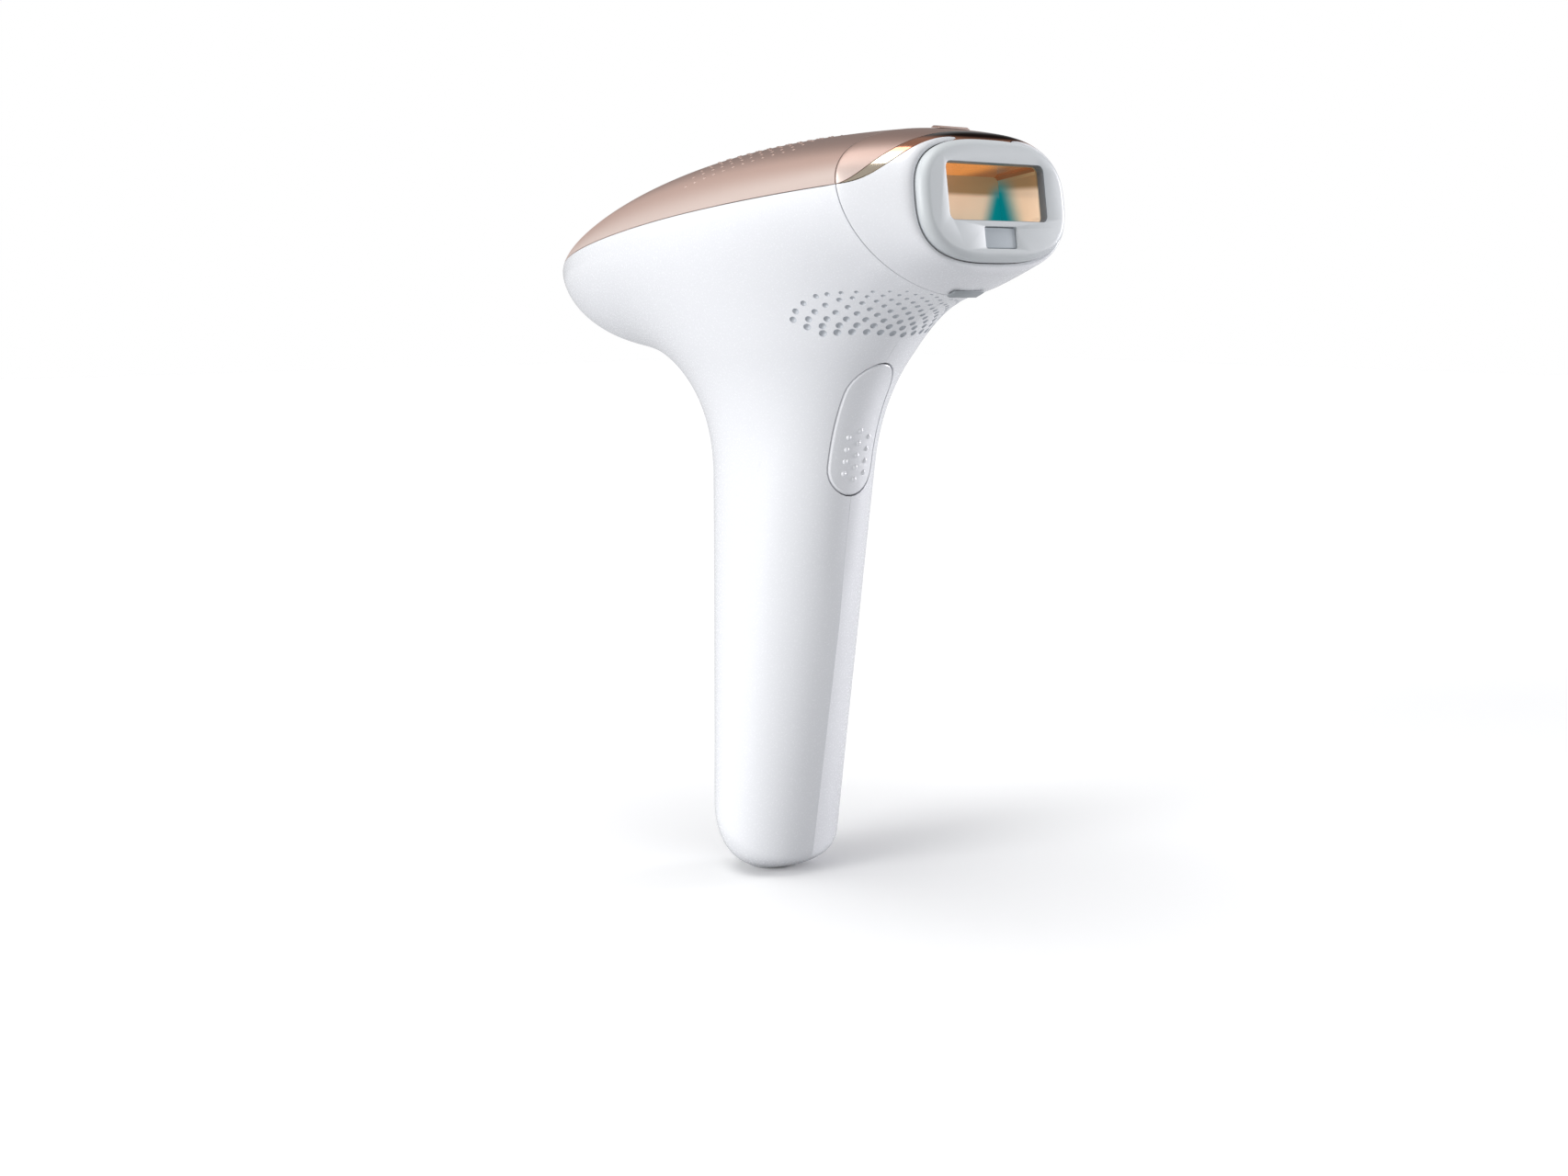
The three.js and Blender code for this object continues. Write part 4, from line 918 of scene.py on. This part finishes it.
def attachment_rings(inset, count, rim=0.0):
    """The attachment's outer or inner skin as rings from the seam to the lip round the pad."""
    start = GAP / 2
    front_outline = superellipse(PAD["centre"], SHELL["half_width"], SHELL["half_height"], SHELL["n"], count)
    seam = shrink(seam_ring(start, count), inset)
    front = shrink(front_outline, inset, PAD["centre"])
    lip = pad_outline(GAP, count)
    shoulder = SHELL["shoulder"] - inset
    side_done = 0.84  # where the side starts to turn in round the shoulder
    rings = []

    def on_side(t):
        return ring_at(start + (shoulder - start) * t, seam + (front - seam) * t ** SHELL["turn"])

    for t, drop in [(0, rim), (0.006, rim * EDGE_BEND), *((t, 0) for t in np.linspace(0.02, side_done, 24))]:
        ring = on_side(t)
        if drop:
            ring[:, 1:] = shrink(ring[:, 1:], drop)
        rings.append(ring)
    side_end = rings[-1]
    corner = ring_at(shoulder, front)
    low = ring_at(shoulder - SHELL["groove"], lip)
    for t in np.linspace(0, 1, 9)[1:]:
        rings.append((1 - t) ** 2 * side_end + 2 * t * (1 - t) * corner + t * t * low)
    return np.stack(rings)


def behind_curve(name, curve, grow):
    """Everything behind and above a strip curve, grown at right angles to it."""
    rise = 18 * np.linspace(0, 1, 41)[1:] ** 2
    reach = curve["reach"] * (rise / curve["rise"]) ** curve["bend"]
    line = [(-60.0, -grow), (grow, -grow), *zip(reach + grow, rise - grow), (-60.0, 18.0)]
    rings = [[(a, y, c) for a, c in line] for y in (-45, 45)]
    return mesh_object(name, *loft(rings))


count = 144
skin = thick_patch(attachment_rings(0, count, EDGE_DROP), attachment_rings(SHELL["wall"], count), True)
white_part, cap_part, strip_part = (
    mesh_object(name + "_skin", *skin) for name in ("attachment_shell", "attachment_cap", "accent_strip")
)
combine(white_part, behind_curve("cut", STRIP_FRONT, BESIDE_CLEAR), "DIFFERENCE")
combine(cap_part, behind_curve("cut", STRIP_BACK, -BESIDE_CLEAR), "INTERSECT")
combine(strip_part, behind_curve("cut", STRIP_FRONT, -STRIP_CLEAR), "INTERSECT")
combine(strip_part, behind_curve("cut", STRIP_BACK, STRIP_CLEAR), "DIFFERENCE")
for made, finish, node, slot in (
    (white_part, white, "attachment_shell", "white_shell"),
    (cap_part, rose, "attachment_cap", "rose_satin"),
    (strip_part, copper, "accent_strip", "copper_strip"),
):
    smooth(in_pod(made))
    dress(made, finish, node, "attachment")


# ---------- pad, window and sensor ----------
def opening(size, grow=0.0):
    """The outline of the window's or the sensor's opening, grown all round."""
    return rounded_rectangle(
        size["centre"], size["half_width"] + grow, size["half_height"] + grow, size["radius"] + grow
    )


def pad_blank():
    """The pad's flat face with its rounded rim, still without openings."""
    outline = pad_outline(PAD["fit"], 160)
    rings = [ring_at(PAD["back"], shrink(outline, 0.3, PAD["centre"]))]
    for t in np.linspace(0, math.pi / 2, 9):
        inset = PAD["edge"] * (1 - math.cos(t))
        station = PAD["face"] - PAD["edge"] * (1 - math.sin(t))
        rings.append(ring_at(station, shrink(outline, inset, PAD["centre"])))
    return mesh_object("contact_pad_face", *loft(rings))


def paint_window_wall_shade(pad):
    """Paints the faces of the window's wall a darker grey: painted shade inside the opening."""
    pad.data.materials.append(window_wall_painted_shade)
    for face, (a, y, c) in zip(pad.data.polygons, to_pod(face_centres(pad))):
        flat = abs(np.dot(face.normal[:], AXIS_A)) > 0.97
        across = abs(y) < WINDOW["half_width"] + 0.3
        upright = abs(c - WINDOW["centre"]) < WINDOW["half_height"] + 0.3
        if across and upright and not flat and a > PAD["face"] - WINDOW_RIM - 0.1:
            face.material_index = 1


pad = pad_blank()
for outline, front in (
    (opening(WINDOW), PAD["face"] + 1),
    (opening(SENSOR), PAD["face"] + 1),
    (opening(WINDOW, TUNNEL_WALL + GAP), PAD["face"] - WINDOW_RIM),
):
    combine(pad, prism("opening", outline, PAD["back"] - 1, front), "DIFFERENCE")
bevel(pad, 0.2)
smooth(in_pod(pad))
dress(pad, grey, "contact_pad", "attachment")
paint_window_wall_shade(pad)

lens_back, lens_front = PAD["face"] - LENS["back"], PAD["face"] - LENS["sunk"]
sensor = prism("sensor_window_lens", opening(SENSOR, -LENS["gap"]), lens_back, lens_front)
bevel(sensor, 0.3)
dress(smooth(in_pod(sensor)), clear, "sensor_window", "attachment")

glass = prism("filter_glass_pane", opening(WINDOW, GLASS["overlap"]), GLASS["back"], GLASS["front"])
dress(smooth(in_pod(glass)), painted_glass_reflections, "filter_glass", "body")


# ---------- catches ----------
_, seam_top, _, seam_bottom = seam_ring(GAP / 2, 4)[:, 1]


def grip_tab(name, sign, high):
    """A small raised pad that follows the attachment's skin on the middle plane."""
    at_seam = seam_top if sign > 0 else seam_bottom
    at_front = PAD["centre"] + sign * SHELL["half_height"]
    wide, narrow = CATCH["half_width"], CATCH["half_width"] - CATCH["slope"]
    rings = []
    for a in np.linspace(CATCH["low"], high, 7):
        mix = ((a - GAP / 2) / (SHELL["shoulder"] - GAP / 2)) ** SHELL["turn"]
        foot = at_seam + (at_front - at_seam) * mix
        crest = foot + sign * CATCH["rise"]
        rings.append(ring_at(a, np.array([(-wide, foot), (wide, foot), (narrow, crest), (-narrow, crest)])))
    return bevel(mesh_object(name, *loft(rings)), 0.3)


for name, sign, high, finish, slot in (
    ("catch_top", 1, CATCH["high_top"], rose, "rose_satin"),
    # the bottom catch gets painted shade
    ("catch_bottom", -1, CATCH["high_bottom"], catch_painted_shade, "grey_plastic"),
):
    tab = grip_tab(name + "_tab", sign, high)
    dress(smooth(in_pod(tab)), finish, name, "attachment")


# ---------- rear control panel ----------
def on_nose(y, c, level=0.0):
    """Points of the nose's dome at y and c, in the pod's frame."""
    y, c = np.broadcast_arrays(np.asarray(y, float), np.asarray(c, float))
    return to_pod(settle(from_pod(-POD["length"], y, c), level, (AXIS_Y, AXIS_C)))


def panel_grid(depth, rows, columns):
    t = np.linspace(0, 1, rows)[:-1, None]
    edge = PANEL_AT - 0.12
    s = np.sin(math.asin(-edge / POD["length"]) * (1 - t) + math.pi / 2 * t)
    angle = np.arange(columns)[None] / columns * 2 * math.pi
    cos, sin = np.cos(angle), np.sin(angle)
    n = np.where(sin > 0, 2 / POD["round_top"], 2 / POD["round_bottom"])
    height = np.where(sin > 0, crown_height(s), belly_depth(s)) * pod_taper(s)
    y = POD["width"] * pod_taper(s) * signed_power(cos, n)
    grid = from_pod(-s * POD["length"], y, height * signed_power(sin, n))
    grid = np.concatenate([settle(grid[:1], -depth, (AXIS_A,)), settle(grid[1:], -depth)])
    tip = from_pod(*on_nose(0, 0, -depth))
    return np.concatenate([grid, np.broadcast_to(tip, (1, columns, 3))])


def dome_button(name, y, c, size):
    """A round button or lens whose face follows the nose's dome, with a rounded edge."""
    radius, proud, edge = size["radius"], size["proud"], size["edge"]
    t = np.linspace(0, 2 * math.pi, 48, endpoint=False)

    def ring(reach, level):
        return on_nose(y + reach * np.cos(t), c + reach * np.sin(t), level)

    side = ring(radius, proud - edge)
    back = side.copy()
    back[:, 0] = side[:, 0].max() + size["depth"]
    rings = [back, side]
    for bend in np.linspace(0, math.pi / 2, 6)[1:]:
        rings.append(ring(radius - edge * (1 - math.cos(bend)), proud - edge * (1 - math.sin(bend))))
    for share in (0.75, 0.5, 0.25, 0.02):
        rings.append(ring((radius - edge) * share, proud))
    return in_pod(mesh_object(name, *loft(rings)))


panel_skin = thick_patch(panel_grid(0, 16, 64), panel_grid(PANEL_WALL, 16, 64), True)
panel = mesh_object("rear_panel_dome", *panel_skin)
light_row = LEVEL_LIGHT["pitch"] * np.arange(-2, 3)
light_places = [(y, LEVEL_LIGHT["c"] - LEVEL_LIGHT["bow"] * y * y) for y in light_row]
round_holes = [(side * BUTTON["y"], BUTTON["c"], BUTTON["radius"] + BUTTON["gap"]) for side in (1, -1)]
round_holes += [(y, c, LEVEL_LIGHT["radius"] + LEVEL_LIGHT["gap"]) for y, c in light_places]
turn = np.linspace(0, 2 * math.pi, 40, endpoint=False)
for y, c, radius in round_holes:
    outline = np.stack([y + radius * np.cos(turn), c + radius * np.sin(turn)], -1)
    combine(panel, in_pod(prism("hole", outline, -160, -120)), "DIFFERENCE")
smooth(bevel(panel, 0.12), 40)
dress(panel, grey, "rear_panel", "body")
for side, name in ((1, "power_button"), (-1, "intensity_button")):
    button = dome_button(name + "_cap", side * BUTTON["y"], BUTTON["c"], BUTTON)
    dress(smooth(button), grey, name, name)
for i, (y, c) in enumerate(light_places, 1):
    lens = dome_button(f"level_light_{i}_lens", y, c, LEVEL_LIGHT)
    dress(smooth(lens), clear, f"level_light_{i}", "body")


# ---------- trigger ----------
def trigger_ring(inset, level):
    outline = trigger_outline(-inset)
    return on_front(outline[:, 0], outline[:, 1]) + [level, 0, 0]


def trigger_face():
    """The trigger's face, of even thickness. Both ends close on the middle line by themselves."""
    proud, edge = TRIGGER["proud"], TRIGGER["edge"]
    inwards = np.linspace(edge, TRIGGER["half_width"], 16)[1:]
    rings = [trigger_ring(inset, proud - TRIGGER["thick"]) for inset in (*inwards[::-1], edge, 0)]
    for t in np.linspace(0, math.pi / 2, 6):
        rings.append(trigger_ring(edge * (1 - math.cos(t)), proud - edge * (1 - math.sin(t))))
    rings += [trigger_ring(inset, proud) for inset in inwards]
    points, faces = loft(rings)
    return mesh_object("trigger_face", points, faces[:-2])


def trigger_dots():
    """Five raised dots up the middle line and four up either side of it."""
    field = TRIGGER_DOTS
    places = [(0, field["middle"] + field["pitch"] * i) for i in range(5)]
    for side in (1, -1):
        places += [(side * field["apart"], field["sides"] + field["pitch"] * i) for i in range(4)]
    dots = on_front(*np.array(places).T)
    radii = [field["radius"]] * len(dots)
    centres = dots + [TRIGGER["proud"], 0, 0]
    return balls("dots", centres, normals_at(dots), radii, field["depth_share"], raised=True)


trigger = combine(trigger_face(), trigger_dots(), "UNION")
smooth_on_form(trigger, TRIGGER["proud"])
dress(trigger, white, "trigger_button", "trigger")


# ---------- stage, light and camera ----------
def paper_to_camera(made):
    """Shows the camera a bright paper white, and every other ray the material as it is."""
    tree = made.node_tree
    paper = tree.nodes.new("ShaderNodeBsdfDiffuse")
    paper.inputs["Color"].default_value = (0.94, 0.94, 0.94, 1)
    glow = tree.nodes.new("ShaderNodeEmission")
    glow.inputs["Strength"].default_value = 0.02
    bright = tree.nodes.new("ShaderNodeAddShader")
    tree.links.new(paper.outputs["BSDF"], bright.inputs[0])
    tree.links.new(glow.outputs["Emission"], bright.inputs[1])
    shaded = tree.nodes["Principled BSDF"].outputs["BSDF"]
    surface = tree.nodes["Material Output"].inputs["Surface"]
    camera_sees(tree, shaded, bright.outputs["Shader"], surface)
    return made


floor_corners = np.array([(-1, -1, 0), (1, -1, 0), (1, 1, 0), (-1, 1, 0)]) * 3000
floor = mesh_object("floor", floor_corners, [(0, 1, 2, 3)])
floor.location.z = cad_box[0][2] - 0.0002
floor_white = material("floor_white", (196, 197, 199), 0.6, (40, 0, 0.55, 0.65))
floor.data.materials.append(paper_to_camera(floor_white))

world = bpy.data.worlds.new("studio")
bpy.context.scene.world = world
world.use_nodes = True
tree = world.node_tree
background = tree.nodes["Background"]
background.inputs["Color"].default_value = (0.97, 0.98, 1.0, 1)
background.inputs["Strength"].default_value = 0.36
backdrop = tree.nodes.new("ShaderNodeBackground")
backdrop.inputs["Color"].default_value = (1, 1, 1, 1)
backdrop.inputs["Strength"].default_value = 1.0
surface = tree.nodes["World Output"].inputs["Surface"]
camera_sees(tree, background.outputs["Background"], backdrop.outputs["Background"], surface)
bpy.context.scene.view_settings.view_transform = "Standard"

azimuth, down = math.radians(CAMERA["azimuth"]), math.radians(CAMERA["down"])
forward = Vector((math.cos(azimuth), -math.sin(azimuth), 0))
right = Vector((math.sin(azimuth), math.cos(azimuth), 0))
up = Vector((0, 0, 1))


def soft_sun(name, towards, strength, spread, color=(1, 1, 1)):
    """A large distant soft light that comes from the direction `towards`."""
    data = bpy.data.lights.new(name, "SUN")
    data.energy = strength
    data.angle = math.radians(spread)
    data.color = color
    made = bpy.data.objects.new(name, data)
    made.rotation_euler = towards.to_track_quat("Z", "Y").to_euler()
    bpy.context.scene.collection.objects.link(made)


soft_sun("overhead", up - right * 0.2 + forward * 0.1, 1.6, 45)
soft_sun("key", -right * 0.8 + forward * 0.6 + up * 0.25, 2.1, 30)
soft_sun("rim", right * 0.9 - forward * 0.45 + up * 0.12, 2.5, 20, (0.97, 0.96, 1.0))

camera_data = bpy.data.cameras.new("camera")
camera_data.lens = CAMERA["lens"]
camera_data.sensor_width = CAMERA["sensor"]
camera_data.clip_start = 0.01
camera = bpy.data.objects.new("camera", camera_data)
camera.location = forward * CAMERA["distance"] + up * CAMERA["height"] - right * CAMERA["shift"]
aim = -forward * math.cos(down) - up * math.sin(down)
camera.rotation_euler = aim.to_track_quat("-Z", "Y").to_euler()
bpy.context.scene.collection.objects.link(camera)
bpy.context.scene.camera = camera
